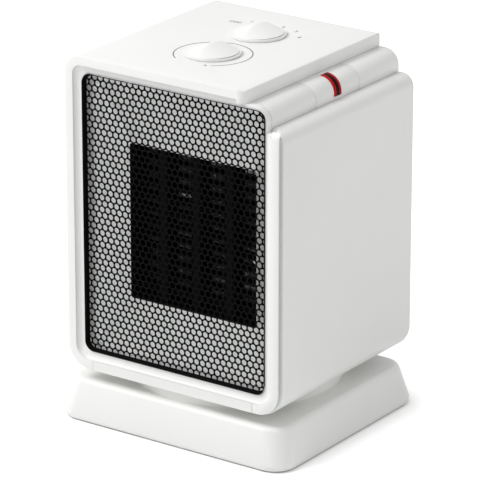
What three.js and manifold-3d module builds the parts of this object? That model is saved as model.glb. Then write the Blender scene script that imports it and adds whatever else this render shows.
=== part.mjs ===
// Ceramic space heater: a head that swings on a low base, with two rotary controls on its top.
// Lengths are millimetres. X runs to the right, Y to the back and Z up.
// The origin is on the floor, on the axis about which the head swings.
import * as THREE from "three";
import { mergeVertices } from "three/addons/utils/BufferGeometryUtils.js";
import Module from "manifold-3d";

const wasm = await Module();
wasm.setup();

// Clearances
const fit = 0.3; // between two pieces that meet
const overrun = 3; // how far a cutter passes the faces that it cuts
const arcSteps = 5; // straight pieces in a quarter of a corner
const edgeSteps = 3; // the same, in a small corner

// Sides of a turned piece, from the widest to the narrowest
const wideSides = 40;
const roundSides = 32;
const rodSides = 24;
const footSides = 20;
const boreSides = 16;
const pinSides = 12;
const screwSides = 10;

// Base: the head stands on its round boss
const baseHalfX = 94;
const baseHalfY = 83.7;
const baseTop = 29.1;
const baseDrop = 1; // the shell's rim clear of the floor
const baseLip = 3.6; // low band round the rim
const baseLipIn = 0.9;
const baseLean = 5.5; // how far the sides lean in up to the top
const baseEdge = 2.2; // rounding of the top edge
const baseEdgeShare = 0.5; // how far in the rounding has come at its middle ring
const baseEdgeRise = 0.67; // and how far up
const baseCorner = 15.6;
const baseWall = 2.5;
const baseRoof = baseTop - baseWall; // underside of its top
const bossDiscMargin = 10.7; // boss's edge in from the base's nearer side
const bossDiscRadius = Math.min(baseHalfX, baseHalfY) - bossDiscMargin;
const bossDiscEdge = 1.2;
const bossDiscRise = 7; // the boss above the base's top
const bossTop = baseTop + bossDiscRise;
const washerThick = 0.8;
const washerWidth = 8;
const floorPlateZ = 2; // underside of the bottom plate
const floorPlateThick = 2;
const floorPlateTop = floorPlateZ + floorPlateThick;
const footRadius = 7;
const footInX = 22; // feet and screws, in from the base's sides
const footInY = 21.7;
const footX = baseHalfX - footInX;
const footY = baseHalfY - footInY;
const plateScrewInX = 20;
const plateScrewInY = 39.7;
const plateScrewX = baseHalfX - plateScrewInX;
const plateScrewY = baseHalfY - plateScrewInY;
const plateScrewLength = 14;

// Swivel in the base
const swivelRadius = 14;
const swivelBore = 10;
const swivelFlange = 24;
const swivelFlangeThick = 2.5;
const retainerRadius = 20;
const retainerThick = 1.3;
const armThick = 2.2;
const armHub = 19.5;
const armHalf = 6;
const slotHalf = 2.6;
const oscillatorRadius = 15;
const oscillatorTall = 9.5;
const crankHub = 6;
const crankHalf = 4;
const crankThick = 2;
const crankPin = 1.8;
const crankShaft = 2.2;
const crankClear = 0.6; // pin's top below the arm, where the linkage is left open
const crankMargin = 5.7; // between the crank, turned to the back, and the base's wall
const swingAngle = 30; // degrees that the head swings each way
const swingShare = Math.sin(THREE.MathUtils.degToRad(swingAngle));
const crankReach = baseHalfY - baseLean - baseWall - crankMargin - crankHalf;
const oscillatorY = crankReach / (1 + swingShare);
const crankThrow = oscillatorY * swingShare; // which swings the arm by that angle

// Tip-over switch
const tipInX = 46; // its place, in from the base's sides
const tipInY = 45.7;
const tipX = tipInX - baseHalfX;
const tipY = tipInY - baseHalfY;
const tipWide = 20;
const tipDeep = 14;
const tipClear = 4.6; // its top below the base's roof
const tipTop = baseRoof - tipClear;
const plungerRadius = 2.6;
const plungerRun = 0.3;
const plungerRoom = 10; // from the plunger's top to the switch's top
const plungerTop = tipTop - plungerRoom;
const plungerFloat = 0.2; // plunger's foot above the floor
const springRadius = 1.7;
const springWire = 0.35;
const springTurns = 5;
const springSteps = 8;
const springSides = 5;

// Cord inlet at the back of the base; the cord itself is not made
const inletInX = 42; // its place, in from the base's left side
const inletX = inletInX - baseHalfX;
const inletClear = 1.8;
const inletFlange = (baseRoof - floorPlateTop) / 2 - inletClear;
const inletLift = 0.5; // flange's foot above the bottom plate
const inletZ = floorPlateTop + inletLift + inletFlange;
const inletLedge = 1.5; // flange's rim round the neck
const inletRadius = inletFlange - inletLedge;
const inletFlangeThick = 2.2;
const inletBore = 3.6;
const inletBack = baseHalfY - fit;

// Head: the outline of its front, as seen from the front
const headHalf = 86.65; // half its width
const headFront = -77.5;
const headBack = 82.5;
const headBottom = bossTop + fit + washerThick + fit;
const totalHeight = 260;
const topCorner = 13; // corner between the left side and the top
const bottomCorner = 17;
const shellWall = 2.5;
const stripWidth = 6.7; // frame strip round the grille
const stripThick = 3;
const seamRun = 3.65; // from the bottom trim's end to the rounding of the shell's corner
const seamX = headHalf - bottomCorner - seamRun;

// Top plate, shoulder and side panel
const shoulderWidth = 27; // from the top plate's right end to the head's side
const plateRight = headHalf - shoulderWidth;
const plateEdge = 2.5; // rounding of the plate's right edge
const plateCorner = 6; // its front right corner, seen from above
const shoulderDrop = 9.4; // shoulder below the top plate
const shoulderTop = totalHeight - shoulderDrop;
const shoulderStep = 11.45; // shoulder in from the head's side
const shoulderRight = headHalf - shoulderStep;
const shoulderRound = 11;
const shoulderWall = 2;
const shoulderFall = 16; // from the shoulder's top down to the panel's
const panelTop = shoulderTop - shoulderFall;
const panelRound = 8; // corner between the side panel and its top
const panelProud = 1; // how far the panel stands out past the frame strip
const panelWall = 2.2;
const grooveDepth = 3; // shadow groove between the frame strip and the side panel
const grooveWidth = 3.2;
const rightLip = 1; // thickness of the frame strip on the right
const innerWall = 2; // wall of the right shell under the panel
const seamFront = -17.2; // seams of the lamp cover across the shoulder
const seamRear = 34.2;

// Lens in the shoulder
const lensFront = 3.7;
const lensRear = 12.6;
const lensDrop = 13.1; // lens's foot below the shoulder's top
const lensLow = shoulderTop - lensDrop;
const lensRun = 0.7; // lens's upper end before the rounding
const lensLeft = shoulderRight - shoulderRound - lensRun;
const lampRadius = 3;
const lampLength = 12;

// Grille, bezel, hood
const bezelRecess = 2; // bezel's front behind the frame strip
const bezelDepth = 7;
const bezelFront = headFront + bezelRecess;
const bezelBack = bezelFront + bezelDepth;
const grilleInSide = 12.65; // grille's edges, in from the head's sides, top and bottom
const grilleInTop = 11.9;
const grilleInBottom = 12.8;
const grilleHalf = headHalf - grilleInSide;
const grilleBottom = headBottom + grilleInBottom;
const grilleTop = totalHeight - grilleInTop;
const grilleCorner = 7;
const trayDepth = 3.5; // how far the perforated sheet lies behind its rim
const traySlope = 2.2; // how far the tray's rim leans in
const sheetThick = 1;
const holePitch = 16.2;
const holeRadius = 5.8;
const holeSides = 6;
const holeMargin = 4;
const rowAngle = 60; // degrees between the rows of holes
const hoodWall = 1.5;
const hoodIn = 2.4; // hood's mouth inside the grille's edge
const hoodRim = 4; // flange at the front of the hood
const hoodDepth = 16.5; // from the bezel's back to the element
const elementInSide = 22.25; // black opening's edges, in from the grille's
const elementInTop = 51.2;
const elementInBottom = 35.9;
const elementHalf = grilleHalf - elementInSide;
const elementBottom = grilleBottom + elementInBottom;
const elementTop = grilleTop - elementInTop;
const elementFront = bezelBack + hoodDepth;
const elementDepth = 20;
const frameWall = 7;
const barWidth = 5;
const barCount = 3;
const finThick = 0.8;
const finCount = 12;
const finPlate = 1;

// Fan
const ductWall = 1.6;
const ductGap = 0.5; // between the element and the duct
const ductDepth = 13.5;
const ductFront = elementFront + elementDepth + ductGap;
const shroudBack = ductFront + ductDepth;
const shroudThick = 2;
const fanMargin = 1.75; // fan's edge in from the element's nearer side
const fanRadius = Math.min(elementHalf, (elementTop - elementBottom) / 2) - fanMargin;
const fanClear = 2.5;
const ringDepth = 24;
const hubRadius = 14;
const hubDepth = 20;
const bladeCount = 7;
const bladeThick = 1.6;
const bladeChord = 20;
const bladeTilt = 35; // degrees
const shaftRadius = 3;
const shaftRun = 0.4; // running clearance round the motor shaft
const motorRadius = 27;
const motorDepth = 26;
const bracketThick = 2;
const bracketWidth = 18;

// Rear cover
const coverThick = 2.4;
const coverRecess = 1.5;
const louvreCount = 12;
const louvreColumns = 2;
const louvreHeight = 5;
const louvrePitch = 11;
const louvreRib = 10;
const louvreIn = 25.65; // louvres' ends, in from the head's sides
const louvreWidth = headHalf - louvreRib / 2 - louvreIn;
const bossRadius = 4;
const bossLength = 14;
const screwRadius = 1.5;
const screwHeadRadius = 3.2;
const screwHeadThick = 1.4;
const screwLength = 11;

// Controls
const knobX = -4.6;
const thermostatY = -22.4;
const switchY = 30.6;
const knobRadius = 19.2;
const knobRim = 2.4; // height of the knob's disc
const knobEdge = 0.8;
const gripHeight = 5.2; // crest of the grip above the disc
const gripTopWidth = 3;
const gripFootWidth = 18;
const gripEnd = 1.2; // grip's end back from the rim
const spindleRadius = 3; // control shafts
const spindleRun = 0.4;
const spindleRise = 3.6; // their tops above the top plate
const spindleTop = totalHeight + spindleRise;
const controlDrop = 17; // control plate's underside below the top
const controlPlateZ = totalHeight - controlDrop;
const controlPlateThick = 2;
const controlPlateMargin = 22;
const postRadius = 3;
const thermostatWide = 30;
const thermostatDeep = 26;
const thermostatTall = 15;
const switchWide = 28;
const switchDeep = 28;
const switchTall = 20;
const cutoutRadius = 8;
const cutoutTall = 9;
const terminalWide = 34;
const terminalDeep = 16;
const terminalTall = 12;
const terminalY = 56;

// Colours
const white = { color: 0xebebe8, roughness: 0.5, metalness: 0 };
const whiteGloss = { color: 0xf2f2f0, roughness: 0.35, metalness: 0 };
const black = { color: 0x0c0c0c, roughness: 0.6, metalness: 0 };
const blackSteel = { color: 0x0a0a0a, roughness: 0.55, metalness: 0.2 };
const red = { color: 0xc81414, roughness: 0.15, metalness: 0 };
const steel = { color: 0x9a9a9c, roughness: 0.4, metalness: 1 };
const brass = { color: 0xb08d4a, roughness: 0.4, metalness: 1 };
const rubber = { color: 0x202020, roughness: 0.9, metalness: 0 };
const grey = { color: 0x8b8d90, roughness: 0.55, metalness: 0 };

// Solids

function solid(geometry) {
  const plain = geometry.index ? geometry.toNonIndexed() : geometry.clone();
  plain.deleteAttribute("normal");
  plain.deleteAttribute("uv");
  const merged = mergeVertices(plain, 1e-4);
  const mesh = new wasm.Mesh({
    numProp: 3,
    vertProperties: merged.attributes.position.array,
    triVerts: new Uint32Array(merged.index.array),
  });
  return new wasm.Manifold(mesh);
}

function join(...solids) {
  return solids.reduce((whole, next) => whole.add(next));
}

function cut(whole, ...cutters) {
  return cutters.reduce((left, next) => left.subtract(next), whole);
}

function box(x0, x1, y0, y1, z0, z1) {
  const geometry = new THREE.BoxGeometry(x1 - x0, y1 - y0, z1 - z0);
  geometry.translate((x0 + x1) / 2, (y0 + y1) / 2, (z0 + z1) / 2);
  return solid(geometry);
}

// A cylinder along an axis, from one end to the other; x, y, z give a point on its axis.
function rod(axis, radius, from, to, at, sides = rodSides) {
  const geometry = new THREE.CylinderGeometry(radius, radius, to - from, sides);
  const middle = (from + to) / 2;
  if (axis === "z") {
    geometry.rotateX(Math.PI / 2);
    geometry.translate(at[0], at[1], middle);
  } else if (axis === "y") {
    geometry.translate(at[0], middle, at[1]);
  } else {
    geometry.rotateZ(Math.PI / 2);
    geometry.translate(middle, at[0], at[1]);
  }
  return solid(geometry);
}

// A turned piece about an upright axis, from pairs of radius and height.
function turned(profile, sides = roundSides) {
  const geometry = new THREE.LatheGeometry(
    profile.map(([r, z]) => new THREE.Vector2(r, z)),
    sides,
  );
  geometry.rotateX(Math.PI / 2);
  return solid(geometry);
}

// A prism along an axis from an outline of pairs: x and y for z, x and z for y, y and z for x.
function prism(axis, outline, from, to) {
  const shape = new THREE.Shape(outline.map(([a, b]) => new THREE.Vector2(a, b)));
  const geometry = new THREE.ExtrudeGeometry(shape, {
    depth: to - from,
    bevelEnabled: false,
  });
  const turn = new THREE.Matrix4();
  const X = new THREE.Vector3(1, 0, 0);
  const Y = new THREE.Vector3(0, 1, 0);
  const Z = new THREE.Vector3(0, 0, 1);
  if (axis === "y") {
    turn.makeBasis(X, Z, Y.clone().negate());
    geometry.applyMatrix4(turn);
    geometry.translate(0, to, 0);
  } else if (axis === "x") {
    turn.makeBasis(Y, Z, X);
    geometry.applyMatrix4(turn);
    geometry.translate(from, 0, 0);
  } else {
    geometry.translate(0, 0, from);
  }
  return solid(geometry);
}

// Points of an arc about a centre, from one angle in degrees to another.
function arc(cx, cz, radius, from, to, steps = arcSteps) {
  const points = [];
  for (let i = 0; i <= steps; i++) {
    const angle = THREE.MathUtils.degToRad(from + ((to - from) * i) / steps);
    points.push([cx + radius * Math.cos(angle), cz + radius * Math.sin(angle)]);
  }
  return points;
}

function roundedBox(x0, x1, z0, z1, radius) {
  return [
    ...arc(x1 - radius, z1 - radius, radius, 0, 90),
    ...arc(x0 + radius, z1 - radius, radius, 90, 180),
    ...arc(x0 + radius, z0 + radius, radius, 180, 270),
    ...arc(x1 - radius, z0 + radius, radius, 270, 360),
  ];
}

// A closed solid through rings of as many points each, given as [outline, level]; axis z or y.
function loft(axis, rings) {
  const count = rings[0][0].length;
  const place = (a, b, level) => (axis === "z" ? [a, b, level] : [a, level, b]);
  const points = rings.flatMap(([ring, level]) => ring.map(([a, b]) => place(a, b, level)));
  const faces = [];
  for (let r = 0; r + 1 < rings.length; r++) {
    for (let i = 0; i < count; i++) {
      const j = (i + 1) % count;
      const low = r * count;
      const high = low + count;
      faces.push([low + i, low + j, high + j], [low + i, high + j, high + i]);
    }
  }
  const top = (rings.length - 1) * count;
  for (let i = 1; i + 1 < count; i++) {
    faces.push([0, i + 1, i], [top, top + i, top + i + 1]);
  }
  const turnedRound = axis === "y" ? faces.map(([a, b, c]) => [a, c, b]) : faces;
  const geometry = new THREE.BufferGeometry();
  const flat = turnedRound.flat().flatMap((index) => points[index]);
  geometry.setAttribute("position", new THREE.Float32BufferAttribute(flat, 3));
  return solid(geometry);
}

// The scene graph
const heater = new THREE.Group();
const base = new THREE.Group();
const head = new THREE.Group();
heater.add(base, head);

function piece(group, name, shape, look, at = [0, 0, 0]) {
  const made = shape.getMesh();
  const geometry = new THREE.BufferGeometry();
  geometry.setAttribute("position", new THREE.BufferAttribute(made.vertProperties, 3));
  geometry.setIndex(new THREE.BufferAttribute(made.triVerts, 1));
  geometry.computeVertexNormals();
  const mesh = new THREE.Mesh(geometry, new THREE.MeshStandardMaterial(look));
  mesh.name = name;
  mesh.position.set(...at);
  group.add(mesh);
  return mesh;
}

// Levels that several pieces share
const coverBack = headBack - coverRecess;
const coverFront = coverBack - coverThick;
const fanZ = (elementBottom + elementTop) / 2;
const fanX = 0;

// Head outline pieces, drawn as a path and the same path moved inwards

// Left path: from the bottom seam round the left side to the right end of the top plate.
function leftPath(inset) {
  const side = -headHalf + inset;
  const low = headBottom + inset;
  const high = totalHeight - inset;
  const bottomRound = Math.max(bottomCorner - inset, fit);
  const topRound = Math.max(topCorner - inset, fit);
  const right = plateRight - inset;
  const edge = Math.max(plateEdge - inset, fit);
  return [
    [-seamX, low],
    ...arc(side + bottomRound, low + bottomRound, bottomRound, 270, 180),
    ...arc(side + topRound, high - topRound, topRound, 180, 90),
    ...arc(right - edge, high - edge, edge, 90, 0, edgeSteps),
    [right, shoulderTop + fit],
  ];
}

// Right path: from the bottom seam round the right side to the foot of the shoulder.
function rightPath(inset) {
  const side = headHalf - inset;
  const low = headBottom + inset;
  const high = panelTop - inset;
  const bottomRound = bottomCorner - inset;
  const topRound = Math.max(panelRound - inset, fit);
  return [
    [seamX, low],
    ...arc(side - bottomRound, low + bottomRound, bottomRound, 270, 360),
    ...arc(side - topRound, high - topRound, topRound, 0, 90),
    [shoulderRight + fit, high],
  ];
}

// Shoulder path: under the end of the top plate, over the round and down to the panel.
function shoulderPath(inset) {
  const round = shoulderRound - inset;
  const right = shoulderRight - inset;
  const high = shoulderTop - inset;
  return [
    [plateRight - shellWall - shoulderWall, high],
    ...arc(right - round, high - round, round, 90, 0),
    [right, panelTop - panelWall - innerWall],
  ];
}

function band(path, outer, inner) {
  return [...path(outer), ...path(inner).reverse()];
}

// Inside of the head's shells, clear of them all round
const trimHalf = seamX - fit;
const insideOutline = [
  [-trimHalf, headBottom + shellWall + fit],
  [trimHalf, headBottom + shellWall + fit],
  [trimHalf, headBottom + grooveDepth + innerWall + fit],
  ...rightPath(grooveDepth + innerWall + fit).slice(1, -1),
  [shoulderRight - shoulderWall - fit, panelTop - grooveDepth - innerWall - fit],
  ...arc(
    shoulderRight - shoulderRound,
    shoulderTop - shoulderRound,
    shoulderRound - shoulderWall - fit,
    0,
    90,
  ),
  [plateRight - shellWall - fit - shoulderWall - fit, shoulderTop - shoulderWall - fit],
  [plateRight - shellWall - fit - shoulderWall - fit, totalHeight - shellWall - fit],
  ...leftPath(shellWall + fit).slice(1, 2 * (arcSteps + 1) + 1).reverse(),
];

// Base shell: leaning sides, a low lip and the round boss on which the head turns

function baseRing(lean, wall) {
  const halfX = baseHalfX - lean - wall;
  const halfY = baseHalfY - lean - wall;
  return roundedBox(-halfX, halfX, -halfY, halfY, baseCorner - wall);
}

function makeBaseShell() {
  const outside = loft("z", [
    [baseRing(baseLipIn, 0), baseDrop],
    [baseRing(0, 0), baseDrop + baseLip],
    [baseRing(baseLean, 0), baseTop - baseEdge],
    [baseRing(baseLean + baseEdge * baseEdgeShare, 0), baseTop - baseEdge * (1 - baseEdgeRise)],
    [baseRing(baseLean + baseEdge, 0), baseTop],
  ]);
  const hollow = loft("z", [
    [baseRing(baseLipIn, baseWall), baseDrop - overrun],
    [baseRing(baseLipIn, baseWall), baseDrop + baseLip],
    [baseRing(baseLean, baseWall), baseRoof],
  ]);
  const disc = turned([
    [0, baseTop - baseEdge],
    [bossDiscRadius, baseTop - baseEdge],
    [bossDiscRadius, bossTop - bossDiscEdge],
    [bossDiscRadius - bossDiscEdge, bossTop],
    [0, bossTop],
  ]);
  const discHollow = rod(
    "z",
    bossDiscRadius - baseWall,
    baseRoof - overrun,
    bossTop - baseWall,
    [0, 0],
    roundSides,
  );
  let shell = cut(join(outside, disc), hollow, discHollow);
  const neck = rod("z", retainerRadius + overrun, baseRoof, bossTop - fit, [0, 0]);
  shell = join(shell, neck);
  for (const at of plateScrews()) {
    const post = rod("z", bossRadius, floorPlateTop + fit, baseRoof + fit, at, pinSides);
    const bore = rod("z", screwRadius + fit, floorPlateTop, plateScrewLength + fit, at, screwSides);
    shell = cut(join(shell, post), bore);
  }
  const swivelHole = rod(
    "z",
    swivelRadius + fit,
    baseRoof - overrun,
    bossTop + overrun,
    [0, 0],
    roundSides,
  );
  const inletFrom = baseHalfY - inletRadius - overrun;
  const inletHole = rod("y", inletRadius + fit, inletFrom, baseHalfY + overrun, [inletX, inletZ]);
  return cut(shell, swivelHole, inletHole);
}

function plateScrews() {
  return [-1, 1].flatMap((sx) => [-1, 1].map((sy) => [sx * plateScrewX, sy * plateScrewY]));
}

function feet() {
  return [-1, 1].flatMap((sx) => [-1, 1].map((sy) => [sx * footX, sy * footY]));
}

piece(base, "base_shell", makeBaseShell(), white);

const floorPlateOutline = baseRing(baseLipIn, baseWall + fit);
let floorPlate = prism("z", floorPlateOutline, floorPlateZ, floorPlateTop);
for (const at of plateScrews()) {
  floorPlate = cut(
    floorPlate,
    rod("z", screwRadius + fit, floorPlateZ - overrun, floorPlateTop + overrun, at, screwSides),
  );
}
floorPlate = cut(
  floorPlate,
  rod("z", plungerRadius + plungerRun, floorPlateZ - overrun, floorPlateTop + overrun, [tipX, tipY]),
);
piece(base, "base_bottom_plate", floorPlate, white);

feet().forEach(([x, y], i) => {
  const foot = turned(
    [
      [0, 0],
      [footRadius - fit, 0],
      [footRadius, (floorPlateZ - fit) / 2],
      [footRadius, floorPlateZ - fit],
      [0, floorPlateZ - fit],
    ],
    footSides,
  );
  piece(base, `rubber_foot_${i + 1}`, foot, rubber, [x, y, 0]);
});

// A pan-head screw standing on its head, with its shank upwards.
function makeScrew(length) {
  return turned(
    [
      [0, -screwHeadThick],
      [screwHeadRadius, -screwHeadThick],
      [screwHeadRadius, 0],
      [screwRadius, 0],
      [screwRadius, length - screwRadius],
      [0, length],
    ],
    pinSides,
  );
}

plateScrews().forEach(([x, y], i) => {
  const at = [x, y, floorPlateZ - fit / 2];
  piece(base, `base_screw_${i + 1}`, makeScrew(plateScrewLength - floorPlateZ), steel, at);
});

const slide = turned([
  [swivelRadius + fit, headBottom - fit - washerThick],
  [swivelRadius + washerWidth, headBottom - fit - washerThick],
  [swivelRadius + washerWidth, headBottom - fit],
  [swivelRadius + fit, headBottom - fit],
  [swivelRadius + fit, headBottom - fit - washerThick],
]);
piece(base, "slide_washer", slide, whiteGloss);

// Oscillation drive: a slow motor on the bottom plate, its crank, and a slotted arm on the swivel

const retainerTop = baseRoof - fit;
const armTop = retainerTop - retainerThick - fit;
const armBottom = armTop - armThick;
const oscillatorBottom = floorPlateTop + fit;
const oscillatorTop = oscillatorBottom + oscillatorTall;
const crankBottom = oscillatorTop + fit;
const crankTop = crankBottom + crankThick;

const oscillator = cut(
  join(
    rod("z", oscillatorRadius, oscillatorBottom, oscillatorTop, [0, oscillatorY], roundSides),
    box(
      -oscillatorRadius - overrun,
      oscillatorRadius + overrun,
      oscillatorY - bossRadius,
      oscillatorY + bossRadius,
      oscillatorBottom,
      oscillatorBottom + floorPlateThick,
    ),
  ),
  rod(
    "z",
    crankShaft + fit,
    oscillatorBottom + floorPlateThick,
    oscillatorTop + overrun,
    [0, oscillatorY],
    boreSides,
  ),
);
piece(base, "oscillation_motor", oscillator, steel);

const crankGroup = new THREE.Group();
crankGroup.position.set(0, oscillatorY, 0);
base.add(crankGroup);
const crank = join(
  rod("z", crankHub, crankBottom, crankTop, [0, 0]),
  rod("z", crankHalf, crankBottom, crankTop, [0, crankThrow], boreSides),
  box(-crankHalf, crankHalf, 0, crankThrow, crankBottom, crankTop),
  rod("z", crankShaft, oscillatorBottom + floorPlateThick + fit, crankTop, [0, 0], pinSides),
  rod("z", crankPin, crankTop - crankThick / 2, armBottom - crankClear, [0, crankThrow], pinSides),
);
piece(crankGroup, "oscillation_crank", crank, grey);

// Tip-over switch with its plunger and spring

let tipSwitch = box(
  tipX - tipWide / 2,
  tipX + tipWide / 2,
  tipY - tipDeep / 2,
  tipY + tipDeep / 2,
  floorPlateTop + fit,
  tipTop,
);
tipSwitch = cut(
  tipSwitch,
  rod("z", plungerRadius + plungerRun, floorPlateTop - overrun, tipTop - shellWall, [tipX, tipY], boreSides),
);
piece(base, "tip_switch", tipSwitch, black);
const plunger = turned(
  [
    [0, plungerFloat],
    [plungerRadius - fit, plungerFloat],
    [plungerRadius, plungerFloat + fit],
    [plungerRadius, plungerTop],
    [0, plungerTop],
  ],
  boreSides,
);
piece(base, "tip_plunger", plunger, red, [tipX, tipY, 0]);

class Coil extends THREE.Curve {
  constructor(radius, from, to, turns) {
    super();
    this.radius = radius;
    this.from = from;
    this.to = to;
    this.turns = turns;
  }
  getPoint(t, target = new THREE.Vector3()) {
    const angle = 2 * Math.PI * this.turns * t;
    const z = this.from + (this.to - this.from) * t;
    return target.set(this.radius * Math.cos(angle), this.radius * Math.sin(angle), z);
  }
}
const springFrom = plungerTop + fit + springWire;
const springTo = tipTop - shellWall - fit - springWire;
const wireSection = new THREE.Shape(
  arc(0, 0, springWire, 0, 360, springSides)
    .slice(1)
    .map(([a, b]) => new THREE.Vector2(a, b)),
);
const springGeometry = new THREE.ExtrudeGeometry(wireSection, {
  steps: springTurns * springSteps,
  bevelEnabled: false,
  extrudePath: new Coil(springRadius, springFrom, springTo, springTurns),
});
piece(base, "tip_spring", solid(springGeometry), steel, [tipX, tipY, 0]);

// Cord inlet: a bushing with a bore through the back of the base

const inletFrontY = baseHalfY - baseLean - baseWall - fit - inletFlangeThick - inletFlangeThick;
const inletNeck = inletFrontY + inletFlangeThick;
const inlet = cut(
  join(
    rod("y", inletFlange, inletFrontY, inletNeck, [inletX, inletZ]),
    rod("y", inletRadius, inletNeck - fit, inletBack, [inletX, inletZ]),
  ),
  rod("y", inletBore, inletFrontY - overrun, inletBack + overrun, [inletX, inletZ], boreSides),
);
piece(base, "cord_inlet", inlet, white);

// Head shells

function makeLeftShell() {
  const wall = prism("y", band(leftPath, 0, shellWall), headFront, headBack);
  const strip = prism("y", band(leftPath, 0, stripWidth), headFront, headFront + stripThick);
  const cornerX = plateRight - plateCorner;
  const cornerY = headFront + plateCorner;
  const low = shoulderTop - overrun;
  const high = totalHeight + overrun;
  const corner = cut(
    box(cornerX, plateRight + overrun, headFront - overrun, cornerY, low, high),
    rod("z", plateCorner, low - overrun, high + overrun, [cornerX, cornerY], rodSides),
  );
  let shell = cut(join(wall, strip), corner);
  for (const y of [thermostatY, switchY]) {
    const bore = spindleRadius + spindleRun + fit;
    shell = cut(shell, rod("z", bore, totalHeight - shellWall - overrun, high, [knobX, y]));
  }
  for (const [x, z] of leftBosses()) {
    shell = join(shell, boss(x, z, -headHalf + shellWall / 2, x));
    shell = cut(shell, bossBore(x, z));
  }
  return shell;
}

function leftBosses() {
  const x = -headHalf + shellWall + bossRadius + fit;
  return [
    [x, totalHeight - topCorner - bossRadius],
    [x, headBottom + bottomCorner + bossRadius],
  ];
}

function rightBosses() {
  const x = headHalf - grooveDepth - innerWall - bossRadius - fit;
  return [
    [x, panelTop - bottomCorner - bossRadius],
    [x, headBottom + bottomCorner + bossRadius],
  ];
}

// A screw boss with a web to the wall beside it.
function boss(x, z, webFrom, webTo) {
  const front = coverFront - fit - bossLength;
  const back = coverFront - fit;
  const low = Math.min(webFrom, webTo);
  const high = Math.max(webFrom, webTo);
  const web = box(low, high, front, back, z - screwRadius, z + screwRadius);
  return join(rod("y", bossRadius, front, back, [x, z], pinSides), web);
}

function bossBore(x, z) {
  const front = coverFront - screwLength - fit;
  return rod("y", screwRadius + fit, front, headBack + overrun, [x, z], screwSides);
}

piece(head, "left_shell", makeLeftShell(), white);

function makeRightShell() {
  const wall = prism(
    "y",
    band(rightPath, grooveDepth, grooveDepth + innerWall),
    headFront + rightLip / 2,
    headBack,
  );
  const strip = prism("y", band(rightPath, 0, stripWidth), headFront, headFront + rightLip);
  const backing = prism(
    "y",
    band(rightPath, grooveDepth, stripWidth),
    headFront + rightLip / 2,
    headFront + stripThick,
  );
  let shell = join(wall, strip, backing);
  for (const [x, z] of rightBosses()) {
    shell = join(shell, boss(x, z, x, headHalf - grooveDepth - innerWall / 2));
    shell = cut(shell, bossBore(x, z));
  }
  return shell;
}

piece(head, "right_shell", makeRightShell(), white);

const panelFront = headFront + rightLip + grooveWidth;
const panel = prism("y", band(rightPath, -panelProud, grooveDepth - fit), panelFront, headBack);
piece(head, "side_panel", panel, white);

// Bottom trim between the two shells, with the strip under the grille

let trim = join(
  box(-trimHalf, trimHalf, headFront, headBack, headBottom, headBottom + shellWall),
  box(-trimHalf, trimHalf, headFront, headFront + stripThick, headBottom, headBottom + stripWidth),
);
trim = cut(
  trim,
  rod(
    "z",
    swivelRadius + fit,
    headBottom - overrun,
    headBottom + shellWall + overrun,
    [0, 0],
    roundSides,
  ),
);
piece(head, "bottom_trim", trim, white);

// Shoulder: a front piece, the lamp cover with its slot, and a rear piece

const shoulderFront = bezelBack + fit;
const shoulderBand = band(shoulderPath, 0, shoulderWall);
piece(head, "shoulder_front", prism("y", shoulderBand, shoulderFront, seamFront - fit), whiteGloss);
piece(head, "shoulder_rear", prism("y", shoulderBand, seamRear + fit, headBack), whiteGloss);
const lensSlot = box(
  lensLeft,
  shoulderRight + overrun,
  lensFront,
  lensRear,
  lensLow,
  shoulderTop + overrun,
);
const lampCover = cut(prism("y", shoulderBand, seamFront, seamRear), lensSlot);
piece(head, "lamp_cover", lampCover, whiteGloss);
const lensRegion = box(
  lensLeft + fit,
  shoulderRight + overrun,
  lensFront + fit,
  lensRear - fit,
  lensLow + fit,
  shoulderTop + overrun,
);
const lens = prism("y", shoulderBand, lensFront, lensRear).intersect(lensRegion);
piece(head, "signal_lens", lens, red);
const lampReach = (shoulderRound - shoulderWall - fit - lampRadius) * Math.SQRT1_2;
const lampX = shoulderRight - shoulderRound + lampReach;
const lampZ = shoulderTop - shoulderRound + lampReach;
const lampMiddle = (lensFront + lensRear) / 2;
const lampFront = lampMiddle - lampLength / 2;
const lamp = rod("y", lampRadius, lampFront, lampFront + lampLength, [lampX, lampZ], boreSides);
piece(head, "signal_lamp", lamp, { ...whiteGloss, color: 0xffb070 });

// Bezel: the ring between the frame strip and the grille

const bezelEdge = stripWidth + fit;
const bezelRound = bottomCorner - bezelEdge;
const bezelLeft = -headHalf + bezelEdge;
const bezelRight = headHalf - bezelEdge;
const bezelLow = headBottom + bezelEdge;
const bezelHigh = totalHeight - bezelEdge;
const bezelStep = panelTop - stripWidth - fit;
const bezelNotch = Math.max(panelRound - stripWidth, fit);
const shoulderInner = shoulderRight - fit;
const bezelOutline = [
  ...arc(bezelLeft + bezelRound, bezelLow + bezelRound, bezelRound, 180, 270),
  ...arc(bezelRight - bezelRound, bezelLow + bezelRound, bezelRound, 270, 360),
  ...arc(bezelRight - bezelNotch, bezelStep - bezelNotch, bezelNotch, 0, 90, edgeSteps),
  [shoulderInner, bezelStep],
  ...arc(shoulderInner - shoulderRound, shoulderTop - shoulderRound, shoulderRound, 0, 90),
  [plateRight - stripWidth - fit, shoulderTop],
  [plateRight - stripWidth - fit, bezelHigh],
  ...arc(bezelLeft + bezelRound, bezelHigh - bezelRound, bezelRound, 90, 180),
];
const openingOutline = roundedBox(
  -grilleHalf - fit,
  grilleHalf + fit,
  grilleBottom - fit,
  grilleTop + fit,
  grilleCorner,
);
const bezel = cut(
  prism("y", bezelOutline, bezelFront, bezelBack),
  prism("y", openingOutline, bezelFront - overrun, bezelBack + overrun),
);
piece(head, "front_bezel", bezel, whiteGloss);

// Grille: a shallow tray of perforated steel

function grilleRing(inset) {
  return roundedBox(
    -grilleHalf + inset,
    grilleHalf - inset,
    grilleBottom + inset,
    grilleTop - inset,
    grilleCorner - inset,
  );
}

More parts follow.
